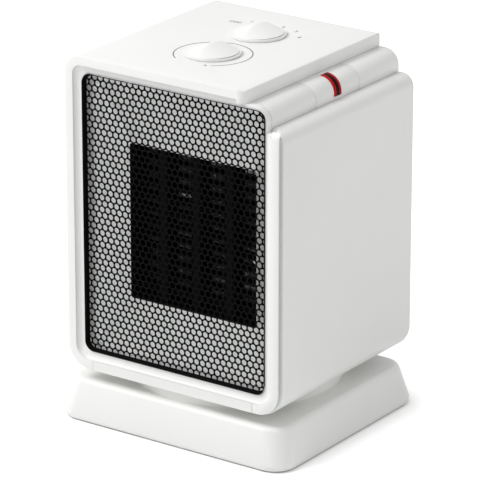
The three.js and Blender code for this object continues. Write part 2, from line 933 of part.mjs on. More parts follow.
function makeGrille() {
  const front = bezelFront;
  const sheet = front + trayDepth;
  const back = sheet + sheetThick;
  const outside = loft("y", [
    [grilleRing(0), front],
    [grilleRing(traySlope), sheet],
    [grilleRing(traySlope + fit), back],
  ]);
  const inside = loft("y", [
    [grilleRing(sheetThick - traySlope), front - trayDepth],
    [grilleRing(sheetThick + traySlope), sheet],
  ]);
  const holes = [];
  const rowPitch = holePitch * Math.sin(THREE.MathUtils.degToRad(rowAngle));
  const halfX = grilleHalf - traySlope - sheetThick - holeMargin - holeRadius;
  const middleZ = (grilleBottom + grilleTop) / 2;
  const halfZ = (grilleTop - grilleBottom) / 2 - traySlope - sheetThick - holeMargin - holeRadius;
  const rows = Math.floor(halfZ / rowPitch);
  for (let row = -rows; row <= rows; row++) {
    const shift = row % 2 ? holePitch / 2 : 0;
    const z = middleZ + row * rowPitch;
    const left = shift - Math.floor((halfX + shift) / holePitch) * holePitch;
    for (let x = left; x <= halfX; x += holePitch) {
      holes.push(rod("y", holeRadius, sheet - sheetThick, back + sheetThick, [x, z], holeSides));
    }
  }
  return cut(outside, inside, wasm.Manifold.compose(holes));
}

piece(head, "front_grille", makeGrille(), blackSteel);

// Hood: four leaning walls from the grille down to the element

function hoodRing(inset) {
  return roundedBox(
    -grilleHalf + hoodIn + inset,
    grilleHalf - hoodIn - inset,
    grilleBottom + hoodIn + inset,
    grilleTop - hoodIn - inset,
    grilleCorner,
  );
}

function mouthRing(grow) {
  return roundedBox(
    -elementHalf - grow,
    elementHalf + grow,
    elementBottom - grow,
    elementTop + grow,
    hoodWall + fit,
  );
}

const hoodFront = bezelBack + fit;
const hoodBack = elementFront - fit;
const hood = cut(
  join(
    loft("y", [
      [hoodRing(0), hoodFront],
      [hoodRing(0), hoodFront + hoodWall],
      [mouthRing(hoodWall), hoodBack],
    ]),
    prism("y", hoodRing(-hoodRim), hoodFront, hoodFront + hoodWall).intersect(
      prism("y", insideOutline, hoodFront - overrun, hoodFront + overrun),
    ),
  ),
  loft("y", [
    [hoodRing(hoodWall - overrun / 2), hoodFront - overrun],
    [hoodRing(hoodWall), hoodFront + hoodWall / 2],
    [mouthRing(0), hoodBack],
    [mouthRing(0), hoodBack + overrun],
  ]),
);
piece(head, "heater_hood", hood, whiteGloss);

// Heating element: a black frame with ceramic bars standing between banks of fins

const elementBack = elementFront + elementDepth;
const frameOutline = roundedBox(
  -elementHalf - frameWall,
  elementHalf + frameWall,
  elementBottom - frameWall,
  elementTop + frameWall,
  hoodWall + fit,
);
const elementFrame = cut(
  prism("y", frameOutline, elementFront, elementBack),
  box(-elementHalf, elementHalf, elementFront - overrun, elementBack + overrun, elementBottom, elementTop),
);
piece(head, "element_frame", elementFrame, black);

const bankCount = barCount + 1;
const coreFront = elementFront + frameWall / 2;
const coreBack = elementBack - frameWall / 2;
const coreLow = elementBottom + fit;
const coreHigh = elementTop - fit;
const bankWidth = (2 * elementHalf - barCount * barWidth - (barCount + bankCount + 1) * fit) / bankCount;
const pairWidth = bankWidth + barWidth + fit + fit;
const finPitch = (coreHigh - coreLow - finThick) / finCount;
for (let i = 0; i < bankCount; i++) {
  const left = -elementHalf + fit + i * pairWidth;
  const right = left + bankWidth;
  const plates = [
    box(left, left + finPlate, coreFront, coreBack, coreLow, coreHigh),
    box(right - finPlate, right, coreFront, coreBack, coreLow, coreHigh),
  ];
  for (let k = 0; k <= finCount; k++) {
    const z = coreLow + k * finPitch;
    plates.push(box(left + finPlate / 2, right - finPlate / 2, coreFront, coreBack, z, z + finThick));
  }
  piece(head, `fin_bank_${i + 1}`, join(...plates), blackSteel);
  if (i < barCount) {
    const bar = box(right + fit, right + fit + barWidth, coreFront, coreBack, coreLow, coreHigh);
    piece(head, `ceramic_bar_${i + 1}`, bar, black);
  }
}

// Fan: a duct behind the element, the impeller, its motor and the bracket

const ductHalfX = elementHalf + frameWall;
const ductLow = elementBottom - frameWall;
const ductHigh = elementTop + frameWall;
const ringRadius = fanRadius + fanClear;
const ringFront = shroudBack - shroudThick;
const ringBack = shroudBack + ringDepth;
const duct = cut(
  join(
    box(-ductHalfX, ductHalfX, ductFront, shroudBack, ductLow, ductHigh),
    rod("y", ringRadius + ductWall, ringFront, ringBack, [fanX, fanZ], wideSides),
  ),
  box(
    -ductHalfX + ductWall,
    ductHalfX - ductWall,
    ductFront - overrun,
    ringFront,
    ductLow + ductWall,
    ductHigh - ductWall,
  ),
  rod("y", ringRadius, ringFront - overrun, ringBack + overrun, [fanX, fanZ], wideSides),
);
piece(head, "fan_duct", duct, grey);

const hubFront = shroudBack + fit;
const hubBack = hubFront + hubDepth;
const motorFront = hubBack + fanClear;
const motorBack = motorFront + motorDepth;
const blades = [];
for (let i = 0; i < bladeCount; i++) {
  const length = fanRadius - hubRadius / 2;
  const blade = new THREE.BoxGeometry(bladeChord, bladeThick, length);
  blade.translate(0, 0, length / 2 + hubRadius / 2);
  blade.rotateZ(THREE.MathUtils.degToRad(bladeTilt));
  blade.rotateY((2 * Math.PI * i) / bladeCount);
  blades.push(solid(blade));
}
const hubMiddle = (hubFront + hubBack) / 2;
const impellerGroup = new THREE.Group();
impellerGroup.position.set(fanX, hubMiddle, fanZ);
head.add(impellerGroup);
const impeller = cut(
  join(rod("y", hubRadius, -hubDepth / 2, hubDepth / 2, [0, 0], rodSides), ...blades),
  rod("y", shaftRadius + fit, -hubDepth / 2 + shellWall, hubDepth / 2 + overrun, [0, 0], boreSides),
);
piece(impellerGroup, "fan_impeller", impeller, grey);
const shaft = rod(
  "y",
  shaftRadius,
  -hubDepth / 2 + shellWall + fit,
  motorBack - hubMiddle - shellWall,
  [0, 0],
  boreSides,
);
piece(impellerGroup, "motor_shaft", shaft, steel);

const motor = cut(
  rod("y", motorRadius, motorFront, motorBack, [fanX, fanZ], rodSides),
  rod(
    "y",
    shaftRadius + shaftRun,
    motorFront - overrun,
    motorBack - shellWall + fit,
    [fanX, fanZ],
    boreSides,
  ),
);
piece(head, "fan_motor", motor, steel);
const legOuter = ductHalfX;
const legInner = legOuter - bracketThick;
const legFront = shroudBack + fit;
const bracketBack = motorBack + fit + bracketThick;
const bracketLow = fanZ - bracketWidth / 2;
const bracketHigh = fanZ + bracketWidth / 2;
const bracket = join(
  box(-legOuter, legOuter, motorBack + fit, bracketBack, bracketLow, bracketHigh),
  box(-legOuter, -legInner, legFront, bracketBack, bracketLow, bracketHigh),
  box(legInner, legOuter, legFront, bracketBack, bracketLow, bracketHigh),
);
piece(head, "motor_bracket", bracket, steel);

// Rear cover with louvres, and its screws

let cover = prism("y", insideOutline, coverFront, coverBack);
const louvreZ = (headBottom + panelTop) / 2;
for (let row = 0; row < louvreCount; row++) {
  const z = louvreZ + (row - (louvreCount - 1) / 2) * louvrePitch;
  for (let column = 0; column < louvreColumns; column++) {
    const pitch = louvreWidth + louvreRib;
    const x = (column - (louvreColumns - 1) / 2) * pitch;
    const half = louvreWidth / 2;
    const low = z - louvreHeight / 2;
    cover = cut(
      cover,
      box(x - half, x + half, coverFront - overrun, coverBack + overrun, low, low + louvreHeight),
    );
  }
}
for (const [x, z] of [...leftBosses(), ...rightBosses()]) {
  cover = cut(cover, bossBore(x, z));
}
piece(head, "rear_cover", cover, white);

[...leftBosses(), ...rightBosses()].forEach(([x, z], i) => {
  const screw = makeScrew(screwLength);
  const made = piece(head, `rear_screw_${i + 1}`, screw, steel, [x, coverBack + fit / 2, z]);
  made.rotation.x = Math.PI / 2;
});

// Controls under the top plate

const postTop = totalHeight - shellWall - fit;
const plateFrontY = thermostatY - controlPlateMargin;
const plateBackY = switchY + controlPlateMargin;
const controlTop = controlPlateZ + controlPlateThick;
let controlPlate = box(
  knobX - controlPlateMargin,
  knobX + controlPlateMargin,
  plateFrontY,
  plateBackY,
  controlPlateZ,
  controlTop,
);
for (const x of [knobX - controlPlateMargin + postRadius, knobX + controlPlateMargin - postRadius]) {
  for (const y of [plateFrontY + postRadius, plateBackY - postRadius]) {
    controlPlate = join(controlPlate, rod("z", postRadius, controlPlateZ, postTop, [x, y], pinSides));
  }
}
for (const y of [thermostatY, switchY]) {
  controlPlate = cut(
    controlPlate,
    rod(
      "z",
      spindleRadius + spindleRun,
      controlPlateZ - overrun,
      controlTop + overrun,
      [knobX, y],
      boreSides,
    ),
  );
}
piece(head, "control_plate", controlPlate, steel);

// A control body hangs under the plate, with a blind bore for its shaft.
function controlBody(name, y, wide, deep, tall, look) {
  const top = controlPlateZ - fit;
  const body = cut(
    box(knobX - wide / 2, knobX + wide / 2, y - deep / 2, y + deep / 2, top - tall, top),
    rod("z", spindleRadius + spindleRun, top - tall / 2, top + overrun, [knobX, y], boreSides),
  );
  piece(head, name, body, look);
}

controlBody("thermostat", thermostatY, thermostatWide, thermostatDeep, thermostatTall, brass);
controlBody("mode_switch", switchY, switchWide, switchDeep, switchTall, black);

// A knob: a low disc with an arched grip across it, from front to back.
function makeKnob() {
  const disc = turned(
    [
      [0, 0],
      [knobRadius, 0],
      [knobRadius, knobRim - knobEdge],
      [knobRadius - knobEdge, knobRim],
      [0, knobRim],
    ],
    wideSides,
  );
  const reach = knobRadius - gripEnd;
  const rise = gripHeight;
  const archRadius = (reach * reach + rise * rise) / (2 * rise);
  const half = THREE.MathUtils.radToDeg(Math.asin(reach / archRadius));
  const upwards = 90; // degrees
  const centre = knobRim + rise - archRadius;
  const arch = prism(
    "x",
    arc(0, centre, archRadius, upwards - half, upwards + half, 2 * arcSteps),
    -gripFootWidth,
    gripFootWidth,
  );
  const wedge = prism(
    "y",
    [
      [-gripFootWidth / 2, knobRim - knobEdge],
      [gripFootWidth / 2, knobRim - knobEdge],
      [gripTopWidth, knobRim + rise / 2],
      [gripTopWidth / 2, knobRim + rise + knobEdge],
      [-gripTopWidth / 2, knobRim + rise + knobEdge],
      [-gripTopWidth, knobRim + rise / 2],
    ],
    -knobRadius,
    knobRadius,
  );
  return join(disc, arch.intersect(wedge));
}

function control(name, y, tall) {
  const group = new THREE.Group();
  group.position.set(knobX, y, 0);
  head.add(group);
  const foot = controlPlateZ - fit - tall / 2 + fit;
  piece(group, `${name}_shaft`, rod("z", spindleRadius, foot, spindleTop, [0, 0], boreSides), steel);
  const knobFoot = totalHeight + fit;
  const knob = cut(
    makeKnob().translate([0, 0, knobFoot]),
    rod("z", spindleRadius + fit, knobFoot - overrun, spindleTop + fit, [0, 0], boreSides),
  );
  piece(group, `${name}_knob`, knob, whiteGloss);
}

control("thermostat", thermostatY, thermostatTall);
control("mode", switchY, switchTall);

// Thermal cut-out on top of the fan duct, and the terminal block on the bottom trim

const cutoutY = (ductFront + shroudBack) / 2;
const cutout = rod("z", cutoutRadius, ductHigh + fit, ductHigh + fit + cutoutTall, [0, cutoutY]);
piece(head, "thermal_cutout", cutout, black);
const terminalLow = headBottom + shellWall + fit;
const terminal = box(
  -terminalWide / 2,
  terminalWide / 2,
  terminalY - terminalDeep / 2,
  terminalY + terminalDeep / 2,
  terminalLow,
  terminalLow + terminalTall,
);
piece(head, "terminal_block", terminal, white);

// Swivel: a hollow spindle through the base, its retainer and the slotted arm, all turning with the head

const flangeLow = headBottom + shellWall + fit;
const spindle = turned(
  [
    [swivelBore, armBottom],
    [swivelRadius, armBottom],
    [swivelRadius, flangeLow],
    [swivelFlange, flangeLow],
    [swivelFlange, flangeLow + swivelFlangeThick],
    [swivelBore, flangeLow + swivelFlangeThick],
    [swivelBore, armBottom],
  ],
  roundSides,
);
piece(head, "swivel_spindle", spindle, grey);
const retainer = turned(
  [
    [swivelRadius + fit, retainerTop - retainerThick],
    [retainerRadius, retainerTop - retainerThick],
    [retainerRadius, retainerTop],
    [swivelRadius + fit, retainerTop],
    [swivelRadius + fit, retainerTop - retainerThick],
  ],
  roundSides,
);
piece(head, "swivel_retainer", retainer, steel);
const armReach = oscillatorY + crankThrow + crankPin + armHalf / 2;
const slotEnd = oscillatorY + crankThrow + crankPin + fit;
const arm = cut(
  join(
    rod("z", armHub, armBottom, armTop, [0, 0], roundSides),
    box(-armHalf, armHalf, 0, armReach, armBottom, armTop),
  ),
  rod("z", swivelRadius + fit, armBottom - overrun, armTop + overrun, [0, 0], roundSides),
  box(-slotHalf, slotHalf, armHub + fit, slotEnd, armBottom - overrun, armTop + overrun),
);
piece(head, "swing_arm", arm, grey);

export default heater;
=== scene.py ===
# %% [markdown]
# A ceramic space heater, finished in Blender.
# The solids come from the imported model, which fixes every size and every joint.
# This file dresses them: smooth mouldings in place of the faceted ones, a finely
# perforated grille, rounded edges, printed marks, materials, a camera and light.
# Lengths are written in millimetres and multiplied by MM, because Blender works in metres.

# %% Load the frame
import math

import bmesh
import bpy
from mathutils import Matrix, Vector


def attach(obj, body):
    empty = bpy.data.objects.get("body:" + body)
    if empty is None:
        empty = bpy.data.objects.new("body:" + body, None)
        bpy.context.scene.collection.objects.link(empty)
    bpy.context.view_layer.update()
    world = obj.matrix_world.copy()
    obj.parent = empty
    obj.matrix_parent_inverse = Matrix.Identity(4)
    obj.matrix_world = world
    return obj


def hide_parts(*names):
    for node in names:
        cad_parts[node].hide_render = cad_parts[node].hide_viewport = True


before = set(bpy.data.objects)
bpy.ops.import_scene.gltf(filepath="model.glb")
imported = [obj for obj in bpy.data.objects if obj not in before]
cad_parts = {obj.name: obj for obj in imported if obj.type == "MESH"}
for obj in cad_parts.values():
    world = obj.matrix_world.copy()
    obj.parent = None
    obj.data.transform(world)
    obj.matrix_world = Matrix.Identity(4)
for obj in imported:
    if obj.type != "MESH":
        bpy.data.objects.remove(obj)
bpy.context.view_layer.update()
MM = 0.001

# %% [markdown]
# The camera stands to the right of the heater and a little above it, as the photographer did.
# A long lens was used: the parallel edges hardly converge. Its focal length, in pixels of a
# square picture, and its distance were found by matching the heater's straight edges.

# %% Place the camera
PICTURE_PIXELS = 479
FOCAL_PIXELS = 3822.36
SENSOR_WIDTH = 36.0
CAMERA_DISTANCE = 2.59966
azimuth = math.radians(35.05)
elevation = math.radians(19.98)
backwards = Vector(
    (
        math.sin(azimuth) * math.cos(elevation),
        -math.cos(azimuth) * math.cos(elevation),
        math.sin(elevation),
    )
)
sideways = Vector((math.cos(azimuth), math.sin(azimuth), 0.0))
aim = sideways * 1.206 * MM + Vector((0.0, 0.0, 123.087 * MM))
bpy.ops.object.camera_add(location=aim + backwards * CAMERA_DISTANCE)
camera = bpy.context.object
camera.name = "camera"
camera.rotation_mode = "QUATERNION"
camera.rotation_quaternion = (-backwards).to_track_quat("-Z", "Y")
camera.data.sensor_width = SENSOR_WIDTH
camera.data.lens = FOCAL_PIXELS / PICTURE_PIXELS * SENSOR_WIDTH
camera.data.clip_end = 50
bpy.context.scene.camera = camera
print("lens:", round(camera.data.lens, 1), "mm")

# %% [markdown]
# Shader groups hold the effects that several finishes share. Each is built once,
# with named inputs, and placed in a material with that finish's own values.
# Moulded plastic is never quite smooth: the mould's steel was eroded to a fine grain,
# and the plastic flows into it a little unevenly.


# %% Helpers for shader groups
def start_group(name, inputs, outputs):
    group = bpy.data.node_groups.new(name, "ShaderNodeTree")
    for label, value in inputs.items():
        kind = "NodeSocketColor" if isinstance(value, tuple) else "NodeSocketFloat"
        made = group.interface.new_socket(label, in_out="INPUT", socket_type=kind)
        made.default_value = value
    for label, kind in outputs.items():
        group.interface.new_socket(label, in_out="OUTPUT", socket_type=kind)
    entry = group.nodes.new("NodeGroupInput")
    leave = group.nodes.new("NodeGroupOutput")
    return group, entry, leave


def add_node(tree, kind, **settings):
    node = tree.nodes.new(kind)
    for name, value in settings.items():
        if hasattr(node, name):
            setattr(node, name, value)
        else:
            node.inputs[name.replace("_", " ")].default_value = value
    return node


def wire(tree, source, output, target, entry):
    tree.links.new(source.outputs[output], target.inputs[entry])


def sums(tree, operation, first, second, clamp=False):
    """A Math node; first and second are numbers or (node, output) pairs."""
    node = tree.nodes.new("ShaderNodeMath")
    node.operation = operation
    node.use_clamp = clamp
    for place, value in enumerate((first, second)):
        if isinstance(value, tuple):
            tree.links.new(value[0].outputs[value[1]], node.inputs[place])
        else:
            node.inputs[place].default_value = value
    return node


# %% Group: moulded grain
grain, entry, leave = start_group(
    "moulded_grain",
    {"Grain": 1500.0, "Flow": 14.0},
    {"Height": "NodeSocketFloat", "Unevenness": "NodeSocketFloat"},
)
place = add_node(grain, "ShaderNodeTexCoord")
fine = add_node(grain, "ShaderNodeTexNoise", Detail=3.0, Roughness=0.6)
broad = add_node(grain, "ShaderNodeTexNoise", Detail=2.0, Roughness=0.5)
wire(grain, place, "Object", fine, "Vector")
wire(grain, place, "Object", broad, "Vector")
wire(grain, entry, "Grain", fine, "Scale")
wire(grain, entry, "Flow", broad, "Scale")
wire(grain, fine, "Fac", leave, "Height")
wire(grain, broad, "Fac", leave, "Unevenness")

# %% [markdown]
# Handling polishes the edges of a moulding and greys them a little, and dust settles
# on what faces up. Both are masks from 0 to 1, made from the shape itself: how sharply
# it bends, and which way it faces, broken up by a noise.

# %% Group: edge wear
wear, entry, leave = start_group(
    "edge_wear", {"Reach": 6.0, "Patches": 60.0}, {"Mask": "NodeSocketFloat"}
)
bend = add_node(wear, "ShaderNodeNewGeometry")
place = add_node(wear, "ShaderNodeTexCoord")
patches = add_node(wear, "ShaderNodeTexNoise", Detail=4.0, Roughness=0.65)
wire(wear, place, "Object", patches, "Vector")
wire(wear, entry, "Patches", patches, "Scale")
over = sums(wear, "SUBTRACT", (bend, "Pointiness"), 0.52)
sharp = sums(wear, "MULTIPLY", (over, 0), (entry, "Reach"), clamp=True)
broken = sums(wear, "MULTIPLY", (sharp, 0), (patches, "Fac"), clamp=True)
wire(wear, broken, 0, leave, "Mask")

# %% Group: settled dust
dust, entry, leave = start_group(
    "settled_dust", {"Speckle": 900.0, "Drift": 9.0}, {"Mask": "NodeSocketFloat"}
)
face = add_node(dust, "ShaderNodeNewGeometry")
split = add_node(dust, "ShaderNodeSeparateXYZ")
place = add_node(dust, "ShaderNodeTexCoord")
speckle = add_node(dust, "ShaderNodeTexNoise", Detail=2.0)
drift = add_node(dust, "ShaderNodeTexNoise", Detail=2.0)
wire(dust, face, "Normal", split, "Vector")
wire(dust, place, "Object", speckle, "Vector")
wire(dust, place, "Object", drift, "Vector")
wire(dust, entry, "Speckle", speckle, "Scale")
wire(dust, entry, "Drift", drift, "Scale")
upward = sums(dust, "SUBTRACT", (split, "Z"), 0.6, clamp=True)
spots = sums(dust, "MULTIPLY", (speckle, "Fac"), (drift, "Fac"))
settled = sums(dust, "MULTIPLY", (upward, 0), (spots, 0), clamp=True)
wire(dust, settled, 0, leave, "Mask")

# %% Group: drawn metal
drawn, entry, leave = start_group(
    "drawn_metal", {"Across": 900.0, "Along": 25.0}, {"Height": "NodeSocketFloat"}
)
place = add_node(drawn, "ShaderNodeTexCoord")
split = add_node(drawn, "ShaderNodeSeparateXYZ")
joined = add_node(drawn, "ShaderNodeCombineXYZ")
lines = add_node(drawn, "ShaderNodeTexNoise", Detail=3.0, Scale=1.0)
wire(drawn, place, "Object", split, "Vector")
for axis, rate in (("X", "Across"), ("Y", "Along"), ("Z", "Across")):
    stretched = sums(drawn, "MULTIPLY", (split, axis), (entry, rate))
    wire(drawn, stretched, 0, joined, axis)
wire(drawn, joined, "Vector", lines, "Vector")
wire(drawn, lines, "Fac", leave, "Height")

# %% [markdown]
# A finish is a Principled shader fed by those groups. The base colour is darkened a
# trifle where the plastic flowed unevenly and at worn edges, and the fine grain
# drives a bump. Colours are linear values: 0.83 is the grey that a picture shows as 234.


# %% Make a plastic or painted finish
def make_finish(
    name, colour, rough, grain_size=1500.0, depth=0.02, worn=0.3, dusty=0.1,
    variety=0.03, metal=0.0, coat=0.0, shine=0.35,
):
    material = bpy.data.materials.new(name)
    material.use_nodes = True
    tree = material.node_tree
    shader = tree.nodes["Principled BSDF"]
    shader.inputs["Metallic"].default_value = metal
    shader.inputs["Coat Weight"].default_value = coat
    shader.inputs["Specular IOR Level"].default_value = shine
    texture = add_node(tree, "ShaderNodeGroup", node_tree=grain)
    texture.inputs["Grain"].default_value = grain_size
    edges = add_node(tree, "ShaderNodeGroup", node_tree=wear)
    settled = add_node(tree, "ShaderNodeGroup", node_tree=dust)

    # Colour: the plain colour, its uneven flow, then worn edges and dust
    flow = add_node(tree, "ShaderNodeMix", data_type="RGBA")
    flow.inputs["A"].default_value = (*[c * (1 - variety) for c in colour], 1)
    flow.inputs["B"].default_value = (*[min(1, c * (1 + variety)) for c in colour], 1)
    wire(tree, texture, "Unevenness", flow, "Factor")
    rubbed = add_node(tree, "ShaderNodeMix", data_type="RGBA")
    rubbed.inputs["B"].default_value = (*[c * 0.8 + 0.03 for c in colour], 1)
    rubbing = sums(tree, "MULTIPLY", (edges, "Mask"), worn, clamp=True)
    tree.links.new(flow.outputs["Result"], rubbed.inputs["A"])
    wire(tree, rubbing, 0, rubbed, "Factor")
    dusted = add_node(tree, "ShaderNodeMix", data_type="RGBA")
    dusted.inputs["B"].default_value = (0.55, 0.53, 0.5, 1)
    dusting = sums(tree, "MULTIPLY", (settled, "Mask"), dusty, clamp=True)
    tree.links.new(rubbed.outputs["Result"], dusted.inputs["A"])
    wire(tree, dusting, 0, dusted, "Factor")
    tree.links.new(dusted.outputs["Result"], shader.inputs["Base Color"])

    # Roughness: smoother where it is rubbed, rougher under dust
    spread = sums(tree, "MULTIPLY", (texture, "Unevenness"), 0.12)
    level = sums(tree, "ADD", (spread, 0), rough - 0.06)
    polished = sums(tree, "MULTIPLY", (rubbing, 0), -0.15)
    total = sums(tree, "ADD", (level, 0), (polished, 0), clamp=True)
    wire(tree, total, 0, shader, "Roughness")

    # Grain
    bump = add_node(tree, "ShaderNodeBump", Strength=depth, Distance=0.0002)
    wire(tree, texture, "Height", bump, "Height")
    wire(tree, bump, "Normal", shader, "Normal")
    return material


def make_metal(name, colour, rough, across=900.0, along=25.0, depth=0.15):
    material = bpy.data.materials.new(name)
    material.use_nodes = True
    tree = material.node_tree
    shader = tree.nodes["Principled BSDF"]
    shader.inputs["Metallic"].default_value = 1.0
    lines = add_node(tree, "ShaderNodeGroup", node_tree=drawn)
    lines.inputs["Across"].default_value = across
    lines.inputs["Along"].default_value = along
    tint = add_node(tree, "ShaderNodeMix", data_type="RGBA")
    tint.inputs["A"].default_value = (*[c * 0.8 for c in colour], 1)
    tint.inputs["B"].default_value = (*[min(1, c * 1.1) for c in colour], 1)
    wire(tree, lines, "Height", tint, "Factor")
    tree.links.new(tint.outputs["Result"], shader.inputs["Base Color"])
    spread = sums(tree, "MULTIPLY", (lines, "Height"), 0.25)
    level = sums(tree, "ADD", (spread, 0), rough - 0.1, clamp=True)
    wire(tree, level, 0, shader, "Roughness")
    bump = add_node(tree, "ShaderNodeBump", Strength=depth, Distance=0.00005)
    wire(tree, lines, "Height", bump, "Height")
    wire(tree, bump, "Normal", shader, "Normal")
    return material


# %% The finishes
shell_white = make_finish("shell_white", (0.84, 0.845, 0.825), 0.42)
base_white = make_finish("base_white", (0.845, 0.85, 0.83), 0.4, dusty=0.2)
gloss_white = make_finish("gloss_white", (0.85, 0.85, 0.84), 0.34, depth=0.01, coat=0.04)
# The hood's white is lighter than the shell's: painted light on the funnel walls, which the grille
# shades
hood_white_painted_bright = make_finish("hood_white_painted_bright", (0.93, 0.93, 0.92), 0.3, worn=0.05, dusty=0.02, metal=0.4)
paint_black = make_finish(
    "paint_black", (0.002, 0.002, 0.002), 0.5,
    grain_size=2200, depth=0.05, worn=0.1, dusty=0.02, shine=0.03,
)
dark_plastic = make_finish(
    "dark_plastic", (0.003, 0.003, 0.003), 0.6, worn=0.1, dusty=0.0, shine=0.03
)
grey_plastic = make_finish("grey_plastic", (0.24, 0.25, 0.26), 0.5)
dark_ceramic = make_finish("dark_ceramic", (0.003, 0.003, 0.003), 0.8, grain_size=2600, depth=0.3,
                          dusty=0.0, shine=0.03)
foot_rubber = make_finish(
    "foot_rubber", (0.018, 0.018, 0.018), 0.85, grain_size=1200, depth=0.3, dusty=0.8
)
lamp_amber = make_finish("lamp_amber", (0.8, 0.4, 0.15), 0.15, worn=0.0)
plunger_red = make_finish("plunger_red", (0.5, 0.02, 0.02), 0.4)
zinc = make_metal("zinc", (0.55, 0.55, 0.56), 0.4)
brass = make_metal("brass", (0.6, 0.42, 0.16), 0.4)
# The fin banks get a near-black finish with hardly any shine, darker than bare aluminium
fin_metal = make_finish("fin_metal", (0.003, 0.003, 0.003), 0.7, worn=0.0, dusty=0.0, shine=0.03)
print_grey = make_finish("print_grey", (0.13, 0.13, 0.135), 0.5, worn=0.0, dusty=0.05)

# %% [markdown]
# Each solid that keeps its own shape gets a finish in its material slots.
# These are mostly inner pieces: they are seen through the grille and the louvres.

# %% Finish the solids that stay
stay = {
    "base_bottom_plate": base_white,
    "slide_washer": gloss_white,
    "bottom_trim": shell_white,
    "rear_cover": shell_white,
    "cord_inlet": base_white,
    "heater_hood": hood_white_painted_bright,
    "element_frame": dark_plastic,
    "fan_duct": grey_plastic,
    "fan_impeller": grey_plastic,
    "motor_shaft": zinc,
    "fan_motor": zinc,
    "motor_bracket": zinc,
    "oscillation_motor": zinc,
    "oscillation_crank": grey_plastic,
    "tip_switch": dark_plastic,
    "tip_plunger": plunger_red,
    "tip_spring": zinc,
    "signal_lamp": lamp_amber,
    "control_plate": zinc,
    "thermostat": brass,
    "mode_switch": dark_plastic,
    "thermostat_shaft": zinc,
    "mode_shaft": zinc,
    "thermal_cutout": dark_plastic,
    "terminal_block": base_white,
    "swivel_spindle": grey_plastic,
    "swivel_retainer": zinc,
    "swing_arm": grey_plastic,
}
for number in range(1, 5):
    stay[f"fin_bank_{number}"] = fin_metal
    stay[f"rubber_foot_{number}"] = foot_rubber
    if number < 4:
        stay[f"ceramic_bar_{number}"] = dark_ceramic
for node, material in stay.items():
    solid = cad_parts[node]
    solid.data.materials.clear()
    solid.data.materials.append(material)
print("solids that stay:", len(stay))

# %% [markdown]
# The helpers below stand for the moves of the hands: put everything down, pick one
# piece up, open its mesh, choose faces or edges by where they are, close it again.


# %% Helpers for handling a piece
def put_down():
    if bpy.context.object and bpy.context.object.mode == "EDIT":
        bpy.ops.object.mode_set(mode="OBJECT")
    bpy.ops.object.select_all(action="DESELECT")


def pick_up(piece):
    put_down()
    piece.select_set(True)
    bpy.context.view_layer.objects.active = piece


def open_mesh(piece):
    pick_up(piece)
    bpy.ops.object.mode_set(mode="EDIT")


def choose(piece, kind, wanted):
    """Select the faces or edges that wanted(middle in mm, direction) is true for."""
    bpy.ops.mesh.select_mode(type=kind)
    bpy.ops.mesh.select_all(action="DESELECT")
    shape = bmesh.from_edit_mesh(piece.data)
    if kind == "FACE":
        for side in shape.faces:
            side.select = bool(wanted(side.calc_center_median() / MM, side.normal))
    else:
        for edge in shape.edges:
            one, two = (corner.co / MM for corner in edge.verts)
            edge.select = bool(wanted((one + two) / 2, (two - one).normalized()))
    shape.select_flush_mode()
    bmesh.update_edit_mesh(piece.data)


def apply_modifier(piece, kind, **settings):
    pick_up(piece)
    modifier = piece.modifiers.new(kind.lower(), kind)
    for name, value in settings.items():
        setattr(modifier, name, value)
    bpy.ops.object.modifier_apply(modifier=modifier.name)


def combine(piece, other, operation):
    """Join another body to a piece, or cut it away, and delete that body."""
    apply_modifier(piece, "BOOLEAN", operation=operation, object=other, solver="EXACT")
    bpy.data.objects.remove(other)


def block(low, high, name="block"):
    """A box between two corners, in mm, to be shaped or used as a cutter."""
    put_down()
    bpy.ops.mesh.primitive_cube_add(size=1)
    made = bpy.context.object
    made.name = name
    made.scale = [(b - a) * MM for a, b in zip(low, high)]
    made.location = [(a + b) / 2 * MM for a, b in zip(low, high)]
    bpy.ops.object.transform_apply(location=True, rotation=True, scale=True)
    return made


def round_bar(axis, radius, start, stop, at, sides=64, name="round_bar"):
    """A round bar along an axis, between two levels in mm; at holds its other two coordinates."""
    put_down()
    bpy.ops.mesh.primitive_cylinder_add(vertices=sides, radius=radius * MM, depth=(stop - start) * MM)
    made = bpy.context.object
    made.name = name
    middle = (start + stop) / 2 * MM
    if axis == "x":
        made.rotation_euler = (0, math.pi / 2, 0)
        made.location = (middle, at[0] * MM, at[1] * MM)
    elif axis == "y":
        made.rotation_euler = (math.pi / 2, 0, 0)
        made.location = (at[0] * MM, middle, at[1] * MM)
    else:
        made.location = (at[0] * MM, at[1] * MM, middle)
    bpy.ops.object.transform_apply(location=True, rotation=True, scale=True)
    return made


# %% [markdown]
# A piece is finished the same way each time. Its normals are turned outward, sharp edges
# get the small radius that every moulding has, and what bends gently is shaded smooth.
# Then it is told which body it moves with and given its finish, and the solids it replaces are hidden.


# %% Finish a piece
def finish_piece(piece, name, body, material, stands_for=(), edge=0.35, segments=2):
    put_down()
    piece.name = piece.data.name = name
    open_mesh(piece)
    bpy.ops.mesh.select_all(action="SELECT")
    bpy.ops.mesh.remove_doubles(threshold=0.00001)
    bpy.ops.mesh.dissolve_limited(angle_limit=math.radians(0.5))
    bpy.ops.mesh.select_all(action="SELECT")
    bpy.ops.mesh.normals_make_consistent(inside=False)
    bpy.ops.object.mode_set(mode="OBJECT")
    if edge:
        apply_modifier(
            piece, "BEVEL", width=edge * MM, segments=segments, limit_method="ANGLE",
            angle_limit=math.radians(50), harden_normals=False,
        )
    pick_up(piece)
    bpy.ops.object.shade_smooth_by_angle(angle=math.radians(32))
    piece.data.materials.clear()
    piece.data.materials.append(material)
    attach(piece, body)
    if stands_for:
        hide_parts(*stands_for)
    size = [round(v / MM, 1) for v in piece.dimensions]
    print(name, "faces:", len(piece.data.polygons), "size:", size)
    return piece


# %% [markdown]
# The head's mouldings are long channels that bend round its corners. Each starts as the
# flat section of its wall, drawn where the moulding begins. It is pulled along the straight
# stretches and spun round the corners, so the corners are true arcs of any fineness.

